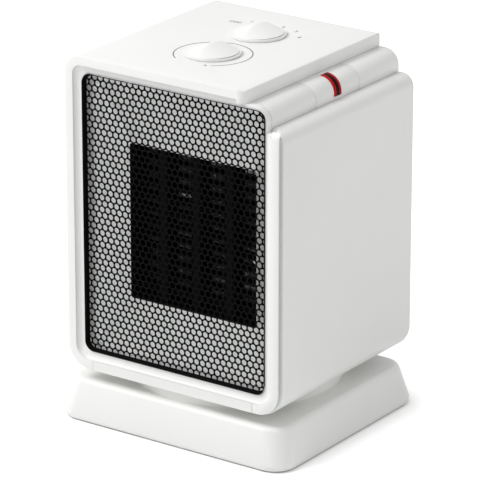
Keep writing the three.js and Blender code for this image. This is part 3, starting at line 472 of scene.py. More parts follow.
# %% Sizes of the head
HEAD_HALF = 86.65
HEAD_FRONT = -77.5
HEAD_BACK = 82.5
HEAD_BOTTOM = 37.5
HEAD_TOP = 260.0
LOW_CORNER = 17.0
TOP_CORNER = 13.0
STRIP_WIDTH = 6.7
STRIP_THICK = 3.0
WALL = 2.5
SEAM_X = 66.0
PLATE_RIGHT = 59.65
PLATE_UNDERSIDE = 250.65
SHOULDER_TOP = 250.6
SHOULDER_RIGHT = 75.2
SHOULDER_ROUND = 11.0
PANEL_TOP = 234.6
PANEL_ROUND = 8.0
CORNER_STEPS = 18


# %% Helpers for a channel
def start_channel(section, place):
    """A flat face with the section's corners, open in edit mode, ready to be pulled."""
    put_down()
    bpy.ops.mesh.primitive_circle_add(vertices=len(section), radius=MM, fill_type="NGON")
    made = bpy.context.object
    for vertex, corner in zip(made.data.vertices, section):
        vertex.co = Vector(place(*corner)) * MM
    bpy.ops.object.mode_set(mode="EDIT")
    bpy.ops.mesh.select_all(action="SELECT")
    return made


def pull(x=0.0, z=0.0):
    bpy.ops.mesh.extrude_region_move(TRANSFORM_OT_translate={"value": (x * MM, 0, z * MM)})


def move_end(made, place):
    """Pull once more, and put each corner of the new end where place says, in mm."""
    bpy.ops.mesh.extrude_region_move()
    shape = bmesh.from_edit_mesh(made.data)
    for corner in shape.verts:
        if corner.select:
            corner.co = Vector(place(corner.co / MM)) * MM
    bmesh.update_edit_mesh(made.data)


def spin_round(centre_x, centre_z, degrees, steps=CORNER_STEPS):
    bpy.ops.mesh.spin(
        steps=steps,
        angle=math.radians(-degrees),
        center=(centre_x * MM, 0, centre_z * MM),
        axis=(0, 1, 0),
    )


# %% [markdown]
# The left shell is the outer wrap: from a seam under the head, round the left side and over
# the top, as one wall with a flat frame strip round its front. Its right end hangs over the
# shoulder with a thicker rim. The corner where the top meets that rim at the front is rounded.

# %% Left shell
wall_section = [
    (0, HEAD_FRONT),
    (STRIP_WIDTH, HEAD_FRONT),
    (STRIP_WIDTH, HEAD_FRONT + STRIP_THICK),
    (WALL, HEAD_FRONT + STRIP_THICK),
    (WALL, HEAD_BACK),
    (0, HEAD_BACK),
]
left = start_channel(wall_section, lambda inset, y: (-SEAM_X, y, HEAD_BOTTOM + inset))
low_x = -HEAD_HALF + LOW_CORNER
top_x = -HEAD_HALF + TOP_CORNER
rim_x = PLATE_RIGHT - STRIP_WIDTH
pull(x=low_x + SEAM_X)
spin_round(low_x, HEAD_BOTTOM + LOW_CORNER, 90)
pull(z=HEAD_TOP - TOP_CORNER - HEAD_BOTTOM - LOW_CORNER)
spin_round(top_x, HEAD_TOP - TOP_CORNER, 90)
pull(x=rim_x - 5 - top_x)
move_end(left, lambda corner: (PLATE_RIGHT - (HEAD_TOP - corner.z), corner.y, corner.z))
move_end(left, lambda corner: (corner.x, corner.y, PLATE_UNDERSIDE))
bpy.ops.object.mode_set(mode="OBJECT")
PLATE_CORNER = 6.0
open_mesh(left)
choose(
    left,
    "EDGE",
    lambda middle, run: abs(run.z) > 0.9
    and middle.x > PLATE_RIGHT - 0.1
    and middle.y < HEAD_FRONT + 0.1,
)
bpy.ops.mesh.bevel(offset=PLATE_CORNER * MM, segments=10, affect="EDGES")
bpy.ops.object.mode_set(mode="OBJECT")

KNOB_X = -4.6
THERMOSTAT_Y = -22.4
SWITCH_Y = 30.6
SHAFT_BORE = 3.7
for y in (THERMOSTAT_Y, SWITCH_Y):
    bore = round_bar("z", SHAFT_BORE, HEAD_TOP - 6, HEAD_TOP + 6, (KNOB_X, y), sides=32)
    combine(left, bore, "DIFFERENCE")

# The rim over the shoulder has a rounder edge than the rest, which it meets at the front corner
RIM_ROUND = 3.2
EDGE_ROUND = 0.7
open_mesh(left)
bpy.ops.mesh.select_all(action="SELECT")
bpy.ops.mesh.normals_make_consistent(inside=False)
shape = bmesh.from_edit_mesh(left.data)
weights = shape.edges.layers.float.new("bevel_weight_edge")
for edge in shape.edges:
    one, two = (corner.co / MM for corner in edge.verts)
    middle = (one + two) / 2
    sharp = len(edge.link_faces) == 2 and edge.calc_face_angle(0) > math.radians(40)
    if sharp:
        edge[weights] = EDGE_ROUND / RIM_ROUND
    if sharp and min(one.z, two.z) > HEAD_TOP - 0.05 and middle.x > PLATE_RIGHT - PLATE_CORNER:
        along_arc = min(1.0, (middle.y - HEAD_FRONT) / PLATE_CORNER)
        edge[weights] = max(EDGE_ROUND / RIM_ROUND, along_arc)
bmesh.update_edit_mesh(left.data)
bpy.ops.object.mode_set(mode="OBJECT")
apply_modifier(left, "BEVEL", width=RIM_ROUND * MM, segments=5, limit_method="WEIGHT")
finish_piece(left, "wrap_shell", "head", shell_white, ["left_shell"], edge=0)

# %% [markdown]
# The right shell carries the frame strip on past the bottom right corner and up the right
# side. Behind the strip its wall steps in by three millimetres, which makes the shadow groove.

# %% Right shell
GROOVE = 3.0
LIP = 1.0
WALL_FRONT = HEAD_FRONT + LIP + 3.1
GROOVE_FLOOR = GROOVE + 1.2
wall_section = [
    (GROOVE_FLOOR, WALL_FRONT),
    (GROOVE_FLOOR + 1.5, WALL_FRONT),
    (GROOVE_FLOOR + 1.5, HEAD_BACK),
    (GROOVE_FLOOR, HEAD_BACK),
]
strip_section = [
    (0, HEAD_FRONT),
    (STRIP_WIDTH, HEAD_FRONT),
    (STRIP_WIDTH, WALL_FRONT),
    (GROOVE_FLOOR, WALL_FRONT),
    (GROOVE_FLOOR, HEAD_FRONT + LIP),
    (0, HEAD_FRONT + LIP),
]


def run_right_side(section, start_x=SEAM_X):
    made = start_channel(section, lambda inset, y: (start_x, y, HEAD_BOTTOM + inset))
    corner_x = HEAD_HALF - LOW_CORNER
    pull(x=corner_x - start_x)
    spin_round(corner_x, HEAD_BOTTOM + LOW_CORNER, -90)
    pull(z=PANEL_TOP - PANEL_ROUND - HEAD_BOTTOM - LOW_CORNER)
    spin_round(HEAD_HALF - PANEL_ROUND, PANEL_TOP - PANEL_ROUND, -90)
    pull(x=SHOULDER_RIGHT + 0.3 - HEAD_HALF + PANEL_ROUND)
    bpy.ops.object.mode_set(mode="OBJECT")
    return made


right = run_right_side(wall_section)
strip = start_channel(strip_section, lambda inset, y: (SEAM_X, y, HEAD_BOTTOM + inset))
corner_x = HEAD_HALF - LOW_CORNER
pull(x=corner_x - SEAM_X)
spin_round(corner_x, HEAD_BOTTOM + LOW_CORNER, -90)
STRIP_BEND = 5.0
BEND_DEGREES = 42
bend_z = 230.6
pull(z=bend_z - HEAD_BOTTOM - LOW_CORNER)
bpy.ops.mesh.spin(
    steps=6,
    angle=math.radians(BEND_DEGREES),
    center=(0, (HEAD_FRONT + STRIP_BEND) * MM, bend_z * MM),
    axis=(1, 0, 0),
)
facet = 2.6 * MM
slant = math.radians(BEND_DEGREES)
bpy.ops.mesh.extrude_region_move(
    TRANSFORM_OT_translate={"value": (0, facet * math.sin(slant), facet * math.cos(slant))}
)
bpy.ops.object.mode_set(mode="OBJECT")
pick_up(right)
strip.select_set(True)
bpy.ops.object.join()
finish_piece(right, "groove_shell", "head", shell_white, ["right_shell"], edge=0.3)

# %% [markdown]
# The side panel is a separate cover that stands a millimetre proud of the strip. It follows
# the same corners, one millimetre further out, so it is the same channel with another section.

# %% Side panel
PROUD = 1.0
PANEL_FRONT = HEAD_FRONT + LIP + 3.2
PANEL_INSIDE = GROOVE_FLOOR - 0.1
panel_section = [
    (-PROUD, PANEL_FRONT),
    (PANEL_INSIDE, PANEL_FRONT),
    (PANEL_INSIDE, HEAD_BACK),
    (-PROUD, HEAD_BACK),
]
panel = run_right_side(panel_section)

# Seen from the side, the panel's top front corner is round too
PANEL_NOSE = 5.5
nose_z = PANEL_TOP + PROUD - PANEL_NOSE
for vertex in panel.data.vertices:
    over = min(1.0, max(0.0, vertex.co.z / MM - nose_z) / PANEL_NOSE)
    if vertex.co.y < 0:
        vertex.co.y += PANEL_NOSE * (1 - math.sqrt(1 - over * over)) * MM
finish_piece(
    panel, "side_cover", "head", shell_white, ["side_panel"],
    edge=0.9, segments=4,
)

# %% [markdown]
# The shoulder is a quarter-round between the top plate and the side panel, in three
# lengths with fine seams. The middle one covers the signal lamp and has a slot for its lens.


# %% Shoulder pieces
def run_shoulder(front, back, outer=0.0, inner=2.0, start_x=PLATE_RIGHT - 4.5, foot_z=230.4):
    section = [(outer, front), (inner, front), (inner, back), (outer, back)]
    made = start_channel(section, lambda inset, y: (start_x, y, SHOULDER_TOP - inset))
    round_x = SHOULDER_RIGHT - SHOULDER_ROUND
    pull(x=round_x - start_x)
    spin_round(round_x, SHOULDER_TOP - SHOULDER_ROUND, 90)
    pull(z=foot_z - SHOULDER_TOP + SHOULDER_ROUND)
    bpy.ops.object.mode_set(mode="OBJECT")
    return made


BEZEL_BACK = -68.5
SEAM_FRONT = -17.2
SEAM_REAR = 34.2
LENS_FRONT = 3.7
LENS_REAR = 12.6
LENS_LOW = 237.5
LENS_LEFT = 63.5
finish_piece(
    run_shoulder(BEZEL_BACK + 0.3, SEAM_FRONT - 0.3),
    "shoulder_cover_front", "head", gloss_white, ["shoulder_front"], edge=0.25,
)
finish_piece(
    run_shoulder(SEAM_REAR + 0.3, HEAD_BACK),
    "shoulder_cover_rear", "head", gloss_white, ["shoulder_rear"], edge=0.25,
)
cover = run_shoulder(SEAM_FRONT, SEAM_REAR)
slot_cutter = block(
    (LENS_LEFT, LENS_FRONT, LENS_LOW), (SHOULDER_RIGHT + 3, LENS_REAR, SHOULDER_TOP + 3)
)
combine(cover, slot_cutter, "DIFFERENCE")
finish_piece(cover, "shoulder_cover_lamp", "head", gloss_white, ["lamp_cover"], edge=0.2)

# %% [markdown]
# The lens is a bent strip of clear red plastic. Its colour is painted light: painted shade,
# nearly black, in the middle, where the dark lamp chamber shows through, and its own red, painted
# bright, towards the edges, where the light runs out. The dark middle is a mask on the strip's own
# place, not on where the viewer stands.

# %% Signal lens
lens_red = bpy.data.materials.new("lens_red")
lens_red.use_nodes = True
tree = lens_red.node_tree
shader = tree.nodes["Principled BSDF"]
shader.inputs["Roughness"].default_value = 0.08
shader.inputs["Specular IOR Level"].default_value = 0.04
place = add_node(tree, "ShaderNodeTexCoord")
split = add_node(tree, "ShaderNodeSeparateXYZ")
wire(tree, place, "Object", split, "Vector")
middle_y = (LENS_FRONT + LENS_REAR) / 2 * MM
offset = sums(tree, "SUBTRACT", (split, "Y"), middle_y)
away = sums(tree, "ABSOLUTE", (offset, 0), 0.0)
painted_shade_fade = add_node(tree, "ShaderNodeMapRange", interpolation_type="SMOOTHSTEP")
wire(tree, away, 0, painted_shade_fade, "Value")
painted_shade_fade.inputs["From Min"].default_value = 1.0 * MM
painted_shade_fade.inputs["From Max"].default_value = 2.9 * MM
cloud = add_node(tree, "ShaderNodeTexNoise", Scale=700.0)
wire(tree, place, "Object", cloud, "Vector")
# Painted shade, nearly black, in the middle, turning to the lens's red, painted bright, towards the
# edges
painted_shade_to_red = add_node(tree, "ShaderNodeMix", data_type="RGBA")
painted_shade_to_red.inputs["A"].default_value = (0.012, 0.001, 0.002, 1)
painted_shade_to_red.inputs["B"].default_value = (0.62, 0.012, 0.014, 1)
wire(tree, painted_shade_fade, "Result", painted_shade_to_red, "Factor")
streak = add_node(tree, "ShaderNodeMix", data_type="RGBA", blend_type="MULTIPLY")
streak.inputs["Factor"].default_value = 0.25
tree.links.new(painted_shade_to_red.outputs["Result"], streak.inputs["A"])
wire(tree, cloud, "Color", streak, "B")
tree.links.new(streak.outputs["Result"], shader.inputs["Base Color"])
lens = run_shoulder(
    LENS_FRONT + 0.3, LENS_REAR - 0.3, outer=-0.3, start_x=LENS_LEFT + 0.3, foot_z=LENS_LOW + 0.3
)
finish_piece(lens, "lens_strip", "head", lens_red, ["signal_lens"], edge=0.45, segments=4)

# %% [markdown]
# The bezel is the ring between the frame strip and the grille. Its outline isn't a plain
# rectangle: at the top right it leaves the strip and follows the shoulder, where it turns
# round to the side. It is drawn as matching loops of points, bridged one to the next,
# because no single inset gives both of its edges.


# %% Helpers for loops
def corner_points(x, z, radius, start, stop, steps=CORNER_STEPS):
    for step in range(steps + 1):
        angle = math.radians(start + (stop - start) * step / steps)
        yield (x + radius * math.cos(angle), z + radius * math.sin(angle))


def rounded_loop(left_x, right_x, low_z, high_z, radii):
    """Four corners, anticlockwise from the top right, each with its own radius."""
    places = [
        (right_x, high_z, -1, -1, 0),
        (left_x, high_z, 1, -1, 90),
        (left_x, low_z, 1, 1, 180),
        (right_x, low_z, -1, 1, 270),
    ]
    loop = []
    for (x, z, inward_x, inward_z, start), radius in zip(places, radii):
        centre = (x + inward_x * radius, z + inward_z * radius)
        loop.extend(corner_points(*centre, radius, start, start + 90))
    return loop


def bridge_loops(name, loops, closed=True):
    """Loops of (x, y, z) in mm, as many points in each, joined in order by quads."""
    put_down()
    bpy.ops.mesh.primitive_circle_add(vertices=3, radius=MM)
    made = bpy.context.object
    made.name = name
    shape = bmesh.new()
    rings = [[shape.verts.new(Vector(point) * MM) for point in loop] for loop in loops]
    pairs = list(zip(rings, rings[1:] + rings[:1])) if closed else list(zip(rings, rings[1:]))
    for near, far in pairs:
        count = len(near)
        for at in range(count):
            after = (at + 1) % count
            shape.faces.new((near[at], near[after], far[after], far[at]))
    shape.to_mesh(made.data)
    shape.free()
    return made


# %% Bezel
GRILLE_HALF = 74.0
GRILLE_LOW = 50.3
GRILLE_HIGH = 248.1
GRILLE_CORNER = 7.0
BEZEL_FRONT = HEAD_FRONT + 2.0
inner_edge = STRIP_WIDTH + 0.1


def bezel_loop(share, y):
    """A loop between the grille's opening (share 0) and the bezel's outline (share 1)."""
    opening = rounded_loop(
        -GRILLE_HALF - 0.3, GRILLE_HALF + 0.3, GRILLE_LOW - 0.3, GRILLE_HIGH + 0.3,
        [GRILLE_CORNER] * 4,
    )
    outline = rounded_loop(
        -HEAD_HALF + inner_edge,
        HEAD_HALF - inner_edge,
        HEAD_BOTTOM + inner_edge,
        HEAD_TOP - inner_edge,
        [TOP_CORNER - inner_edge] * 2 + [LOW_CORNER - inner_edge] * 2,
    )
    points = []
    for near, far in zip(opening, outline):
        x = near[0] + (far[0] - near[0]) * share
        z = near[1] + (far[1] - near[1]) * share
        points.append((x, y, z))
    return points


ledge = [
    (0.0, BEZEL_BACK),
    (0.0, HEAD_FRONT + 3.1),
    (0.3, HEAD_FRONT + 3.1),
    (0.5, HEAD_FRONT + 2.95),
    (0.65, HEAD_FRONT + 2.7),
    (0.8, HEAD_FRONT + 2.25),
    (0.9, HEAD_FRONT + 1.7),
    (0.96, HEAD_FRONT + 1.1),
    (1.0, HEAD_FRONT + 0.4),
    (1.0, BEZEL_BACK),
]
bezel = bridge_loops("bezel", [bezel_loop(share, y) for share, y in ledge])
open_mesh(bezel)
bpy.ops.mesh.select_all(action="SELECT")
bpy.ops.mesh.normals_make_consistent(inside=False)
bpy.ops.object.mode_set(mode="OBJECT")

# The part of the ring that would stand out past the shoulder is cut to its profile
outside = block(
    (PLATE_RIGHT - STRIP_WIDTH - 0.3, HEAD_FRONT - 5, PANEL_TOP - 1.0),
    (HEAD_HALF + 5, BEZEL_BACK + 5, HEAD_TOP + 5),
)
keep = block((-10, HEAD_FRONT - 9, 150), (SHOULDER_RIGHT - 0.3, BEZEL_BACK + 9, SHOULDER_TOP))
open_mesh(keep)
choose(
    keep,
    "EDGE",
    lambda middle, run: abs(run.y) > 0.9
    and middle.x > SHOULDER_RIGHT - 1
    and middle.z > SHOULDER_TOP - 1,
)
bpy.ops.mesh.bevel(offset=SHOULDER_ROUND * MM, segments=CORNER_STEPS, affect="EDGES")
bpy.ops.object.mode_set(mode="OBJECT")
combine(outside, keep, "DIFFERENCE")
combine(bezel, outside, "DIFFERENCE")
finish_piece(bezel, "grille_bezel", "head", gloss_white, ["front_bezel"], edge=0.3)

# %% [markdown]
# The grille is a thin black steel sheet with about fifteen hundred round holes in a
# triangular pattern, pressed into a shallow tray. One cell of the pattern, a hexagon
# with a hole, is modelled and copied in rows. The whole sheet is then cut to its rounded
# outline, given its thickness, and joined to the plain sloping rim that the press makes.

# %% One cell of the pattern
HOLE_PITCH = 4.85
ROW_PITCH = HOLE_PITCH * math.sin(math.radians(60))
HOLE_RADIUS = 2.0
HOLE_SIDES = 18
TRAY_DEPTH = 3.2
SHEET_THICK = 0.45
sheet_y = BEZEL_FRONT + TRAY_DEPTH
cell_points = []
for step in range(HOLE_SIDES):
    angle = 2 * math.pi * step / HOLE_SIDES + math.pi / 6
    sector = (angle + math.pi / 6) % (math.pi / 3) - math.pi / 6
    cell_points.append((angle, HOLE_PITCH / 2 / math.cos(sector)))
put_down()
bpy.ops.mesh.primitive_circle_add(vertices=3, radius=MM)
sheet = bpy.context.object
shape = bmesh.new()
columns = int(GRILLE_HALF / HOLE_PITCH) + 2
rows = int((GRILLE_HIGH - GRILLE_LOW) / 2 / ROW_PITCH) + 2
middle_z = (GRILLE_LOW + GRILLE_HIGH) / 2
holes = 0
for row in range(-rows, rows + 1):
    shift = HOLE_PITCH / 2 if row % 2 else 0.0
    for column in range(-columns, columns + 1):
        x = column * HOLE_PITCH + shift
        z = middle_z + row * ROW_PITCH
        if abs(x) > GRILLE_HALF + 3 or abs(z - middle_z) > (GRILLE_HIGH - GRILLE_LOW) / 2 + 3:
            continue
        rim = [
            shape.verts.new(
                Vector((x + HOLE_RADIUS * math.cos(a), sheet_y, z + HOLE_RADIUS * math.sin(a))) * MM
            )
            for a, _ in cell_points
        ]
        edge = [
            shape.verts.new(Vector((x + r * math.cos(a), sheet_y, z + r * math.sin(a))) * MM)
            for a, r in cell_points
        ]
        for at in range(HOLE_SIDES):
            after = (at + 1) % HOLE_SIDES
            shape.faces.new((rim[at], rim[after], edge[after], edge[at]))
        holes += 1
bmesh.ops.remove_doubles(shape, verts=shape.verts, dist=0.00002)
shape.to_mesh(sheet.data)
shape.free()
print("holes in the sheet before it is cut:", holes, "faces:", len(sheet.data.polygons))

# %% Cut the sheet to its outline
open_mesh(sheet)
bpy.ops.mesh.select_mode(type="VERT")
SLOPE_WIDTH = 1.6


def tray_loop(inset):
    """The grille's outline, moved in by some millimetres."""
    return rounded_loop(
        -GRILLE_HALF + inset,
        GRILLE_HALF - inset,
        GRILLE_LOW + inset,
        GRILLE_HIGH - inset,
        [GRILLE_CORNER - inset] * 4,
    )


outline = tray_loop(SLOPE_WIDTH)
reduced = outline[::3]
for near, far in zip(reduced, reduced[1:] + reduced[:1]):
    run = Vector((far[0] - near[0], 0, far[1] - near[1]))
    if run.length < 0.01:
        continue
    normal = Vector((run.z, 0, -run.x)).normalized()
    bpy.ops.mesh.select_all(action="SELECT")
    bpy.ops.mesh.bisect(
        plane_co=(near[0] * MM, sheet_y * MM, near[1] * MM),
        plane_no=normal,
        clear_outer=True,
        use_fill=False,
    )
bpy.ops.object.mode_set(mode="OBJECT")
print("faces after cutting:", len(sheet.data.polygons))

# %% Give the sheet its thickness and join the pressed rim to it
apply_modifier(sheet, "SOLIDIFY", thickness=SHEET_THICK * MM, offset=1.0, use_even_offset=True)
RIM_FLAT = 0.5
rim_steps = [
    (SLOPE_WIDTH + 0.05, sheet_y),
    (RIM_FLAT, sheet_y - TRAY_DEPTH + 0.4),
    (0.0, sheet_y - TRAY_DEPTH),
    (0.0, sheet_y - TRAY_DEPTH + SHEET_THICK),
    (RIM_FLAT, sheet_y - TRAY_DEPTH + 0.4 + SHEET_THICK),
    (SLOPE_WIDTH + 0.05, sheet_y + SHEET_THICK),
]
rim = bridge_loops("rim", [[(x, y, z) for x, z in tray_loop(inset)] for inset, y in rim_steps])
open_mesh(rim)
bpy.ops.mesh.select_all(action="SELECT")
bpy.ops.mesh.normals_make_consistent(inside=False)
bpy.ops.object.mode_set(mode="OBJECT")
pick_up(sheet)
rim.select_set(True)
bpy.ops.object.join()
pick_up(sheet)
sheet.name = sheet.data.name = "perforated_sheet"
bpy.ops.object.shade_smooth_by_angle(angle=math.radians(30))
sheet.data.materials.clear()
sheet.data.materials.append(paint_black)
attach(sheet, "head")
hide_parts("front_grille")
print("perforated_sheet faces:", len(sheet.data.polygons))

# %% [markdown]
# The knobs are low discs with a ridge across them for the fingers. Seen from the side the
# ridge is an arch. The surface falls from it to the rim, flat on the right and hollow on
# the left. That surface is drawn as rows of points from front to back, each row narrower
# towards the ends of the disc, and the rim is then pulled down to make the disc's side.


# %% Knobs
KNOB_RADIUS = 19.2
KNOB_FOOT = HEAD_TOP + 0.3
KNOB_RIM = KNOB_FOOT + 1.6
RIDGE_HEIGHT = 6.4
RIM_WIDTH = 1.3
KNOB_ROWS = 48
HOLLOW_LEFT = 1.5
HOLLOW_RIGHT = 0.95
RIDGE_BLUNT = 0.05


def knob_height(across, along):
    """The height over the rim; across and along run from -1 to 1 over the sloping part."""
    from_ridge = math.sqrt(across * across + RIDGE_BLUNT**2) - RIDGE_BLUNT
    hollow = HOLLOW_LEFT if across < 0 else HOLLOW_RIGHT
    return RIDGE_HEIGHT * (1 - abs(along) ** 2.3) * max(0.0, 1 - from_ridge) ** hollow


def make_knob(name, y, body, stands_for):
    knob = round_bar("z", KNOB_RADIUS, KNOB_FOOT, KNOB_RIM, (KNOB_X, y), sides=2 * KNOB_ROWS)
    open_mesh(knob)
    choose(knob, "FACE", lambda middle, normal: normal.z > 0.9)
    bpy.ops.mesh.inset(thickness=RIM_WIDTH * MM)
    bpy.ops.mesh.delete(type="FACE")
    bpy.ops.object.mode_set(mode="OBJECT")
    slope_radius = KNOB_RADIUS - RIM_WIDTH
    shape = bmesh.new()
    shape.from_mesh(knob.data)
    rows = []
    for step in range(1, KNOB_ROWS):
        turn = math.pi * step / KNOB_ROWS - math.pi / 2
        along = math.sin(turn)
        half = slope_radius * math.cos(turn)
        row = []
        for place in range(KNOB_ROWS + 1):
            across = 2 * place / KNOB_ROWS - 1
            height = KNOB_RIM + knob_height(across, along)
            point = (KNOB_X + half * across, y + slope_radius * along, height)
            row.append(shape.verts.new(Vector(point) * MM))
        rows.append(row)
    for near, far in zip(rows, rows[1:]):
        for at in range(KNOB_ROWS):
            shape.faces.new((near[at], near[at + 1], far[at + 1], far[at]))
    for row, along in ((rows[0], -1), (rows[-1], 1)):
        tip = shape.verts.new(Vector((KNOB_X, y + slope_radius * along, KNOB_RIM)) * MM)
        for at in range(KNOB_ROWS):
            pair = (row[at], row[at + 1]) if along > 0 else (row[at + 1], row[at])
            shape.faces.new((*pair, tip))
    bmesh.ops.remove_doubles(shape, verts=shape.verts, dist=0.00003)
    shape.to_mesh(knob.data)
    shape.free()
    return finish_piece(
        knob, name, body, gloss_white, [stands_for], edge=0.35, segments=3
    )


make_knob("thermostat_grip", THERMOSTAT_Y, "thermostat_control", "thermostat_knob")
make_knob("mode_grip", SWITCH_Y, "mode_control", "mode_knob")

# %% [markdown]
# Printed marks: a thin grey ring round the front knob, open at the front where the scale
# begins, and small figures round the rear knob. Each is a film of ink a few hundredths of
# a millimetre thick, so it is modelled as real, very thin geometry that lies on the plate.

# %% Dial ring
INK = 0.05
RING_RADIUS = 26.5
RING_WIDTH = 0.75
RING_START = 58
RING_SWEEP = 293
ring_x = -4.3
ring_y = -22.3
put_down()
bpy.ops.mesh.primitive_plane_add(size=1)
ring = bpy.context.object
ring.scale = (RING_WIDTH * MM, INK * MM, 1)
ring.rotation_euler = (math.pi / 2, 0, 0)
ring.location = ((ring_x + RING_RADIUS) * MM, ring_y * MM, (HEAD_TOP + INK / 2) * MM)
bpy.ops.object.transform_apply(location=True, rotation=True, scale=True)
open_mesh(ring)
bpy.ops.mesh.select_all(action="SELECT")
bpy.ops.transform.rotate(
    value=math.radians(RING_START),
    orient_axis="Z",
    center_override=(ring_x * MM, ring_y * MM, HEAD_TOP * MM),
)
bpy.ops.mesh.spin(
    steps=96,
    angle=math.radians(-RING_SWEEP),
    center=(ring_x * MM, ring_y * MM, 0),
    axis=(0, 0, 1),
)
bpy.ops.object.mode_set(mode="OBJECT")
finish_piece(ring, "dial_ring", "head", print_grey, edge=0)

# %% Figures round the rear knob
def print_text(name, words, offset, size, turn=0.0):
    put_down()
    bpy.ops.object.text_add(location=(0, 0, 0))
    text = bpy.context.object
    text.data.body = words
    text.data.size = size * MM
    text.data.align_x = "CENTER"
    text.data.align_y = "CENTER"
    text.data.extrude = INK / 2 * MM
    text.data.resolution_u = 4
    bpy.ops.object.convert(target="MESH")
    text = bpy.context.object
    text.rotation_euler = (0, 0, math.radians(turn))
    text.location = ((KNOB_X + offset[0]) * MM, (SWITCH_Y + offset[1]) * MM, (HEAD_TOP + INK / 2) * MM)
    bpy.ops.object.transform_apply(location=True, rotation=True, scale=True)
    return finish_piece(text, name, "head", print_grey, edge=0)


figures = [
    ("OFF", (-29.9, 15.5)),
    ("1", (-21.1, 23.1)),
    ("2", (4.0, 24.2)),
    ("3", (16.7, 20.9)),
    ("4", (26.2, 10.6)),
]
for number, (words, offset) in enumerate(figures):
    print_text(f"mode_figure_{number}", words, offset, 5.4)

# %% Pointer mark at the open end of the ring
MARK_ANGLE = math.radians(-66)
MARK_RADIUS = 25.9
put_down()
bpy.ops.mesh.primitive_cylinder_add(vertices=3, radius=1.5 * MM, depth=INK * MM)
mark = bpy.context.object
mark.rotation_euler = (0, 0, MARK_ANGLE + math.radians(90))
mark.location = (
    (ring_x + MARK_RADIUS * math.cos(MARK_ANGLE)) * MM,
    (ring_y + MARK_RADIUS * math.sin(MARK_ANGLE)) * MM,
    (HEAD_TOP + INK / 2) * MM,
)
bpy.ops.object.transform_apply(location=True, rotation=True, scale=True)
finish_piece(mark, "dial_pointer", "head", print_grey, edge=0)

# %% [markdown]
# The base is a low block with leaning sides. A box is bevelled at its upright corners, its
# top is scaled in, and its top edge gets a soft round. A lip runs round the bottom, and
# a round boss on top carries the head.

# %% Base shell
BASE_HALF_X = 94.0
BASE_HALF_Y = 83.7
BASE_TOP = 29.1
BASE_LEAN = 5.5
BASE_CORNER = 15.6
LIP_TOP = 4.6
BASE_FOOT = 1.0
BOSS_RADIUS = 73.0
BOSS_TOP = 36.1
shell = block(
    (-BASE_HALF_X, -BASE_HALF_Y, LIP_TOP), (BASE_HALF_X, BASE_HALF_Y, BASE_TOP), name="base"
)
open_mesh(shell)
choose(shell, "EDGE", lambda middle, run: abs(run.z) > 0.9)
bpy.ops.mesh.bevel(offset=BASE_CORNER * MM, segments=CORNER_STEPS, affect="EDGES")
choose(shell, "FACE", lambda middle, normal: normal.z > 0.9)
bpy.ops.transform.resize(
    value=(1 - BASE_LEAN / BASE_HALF_X * 1.12, 1 - BASE_LEAN / BASE_HALF_Y * 1.12, 1),
    center_override=(0, 0, BASE_TOP * MM),
)
choose(
    shell,
    "EDGE",
    lambda middle, run: abs(run.z) < 0.1 and middle.z > BASE_TOP - 0.1,
)
bpy.ops.mesh.bevel(offset=3.2 * MM, segments=8, affect="EDGES")
choose(shell, "FACE", lambda middle, normal: normal.z < -0.9)
bpy.ops.mesh.extrude_region_move(TRANSFORM_OT_translate={"value": (0, 0, (BASE_FOOT - LIP_TOP) * MM)})
bpy.ops.transform.resize(
    value=(1 - 0.9 / BASE_HALF_X, 1 - 0.9 / BASE_HALF_Y, 1), center_override=(0, 0, BASE_FOOT * MM)
)
bpy.ops.mesh.inset(thickness=WALL * MM)
bpy.ops.mesh.extrude_region_move(TRANSFORM_OT_translate={"value": (0, 0, 23.6 * MM)})
bpy.ops.transform.resize(
    value=(1 - BASE_LEAN / BASE_HALF_X, 1 - BASE_LEAN / BASE_HALF_Y, 1), center_override=(0, 0, 0)
)
bpy.ops.object.mode_set(mode="OBJECT")
boss = round_bar("z", BOSS_RADIUS, BASE_TOP - 2, BOSS_TOP, (0, 0), sides=160)
open_mesh(boss)
choose(boss, "EDGE", lambda middle, run: middle.z > BOSS_TOP - 0.1 and abs(run.z) < 0.1)
bpy.ops.mesh.bevel(offset=1.6 * MM, segments=5, affect="EDGES")
bpy.ops.object.mode_set(mode="OBJECT")
combine(shell, boss, "UNION")
combine(shell, round_bar("z", 14.3, BASE_TOP - 12, BOSS_TOP + 4, (0, 0), sides=48), "DIFFERENCE")
combine(shell, round_bar("y", 8.3, 70, 90, (-52, 14), sides=48), "DIFFERENCE")
finish_piece(shell, "base_body", "base", base_white, ["base_shell"], edge=0.4)

# %% [markdown]
# Eight pan-head screws hold the rear cover and the bottom plate. One is made at the origin,
# standing on its shank, with a rounded head and a cross-shaped recess. It is then turned
# and moved to its place.


# %% Screws
SCREW_HEAD_RADIUS = 3.2
SCREW_HEAD_THICK = 1.4
SHANK_RADIUS = 1.5
RECESS_REACH = 1.7
RECESS_HALF = 0.35
RECESS_DEPTH = 0.8


def make_screw(name, body, stands_for, turn, place, length):
    screw = round_bar("z", SCREW_HEAD_RADIUS, 0, SCREW_HEAD_THICK, (0, 0), sides=40)
    open_mesh(screw)
    choose(screw, "EDGE", lambda middle, run: middle.z > SCREW_HEAD_THICK - 0.05 and abs(run.z) < 0.1)
    bpy.ops.mesh.bevel(offset=0.9 * MM, segments=5, affect="EDGES")
    bpy.ops.object.mode_set(mode="OBJECT")
    combine(screw, round_bar("z", SHANK_RADIUS, -length, 0.1, (0, 0), sides=20), "UNION")
    floor_z = SCREW_HEAD_THICK - RECESS_DEPTH
    for half_x, half_y in ((RECESS_REACH, RECESS_HALF), (RECESS_HALF, RECESS_REACH)):
        slit = block((-half_x, -half_y, floor_z), (half_x, half_y, SCREW_HEAD_THICK + 1))
        combine(screw, slit, "DIFFERENCE")
    screw.rotation_euler = (math.radians(turn), 0, 0)
    screw.location = Vector(place) * MM
    pick_up(screw)
    bpy.ops.object.transform_apply(location=True, rotation=True, scale=True)
    finish_piece(screw, name, body, zinc, [stands_for], edge=0)


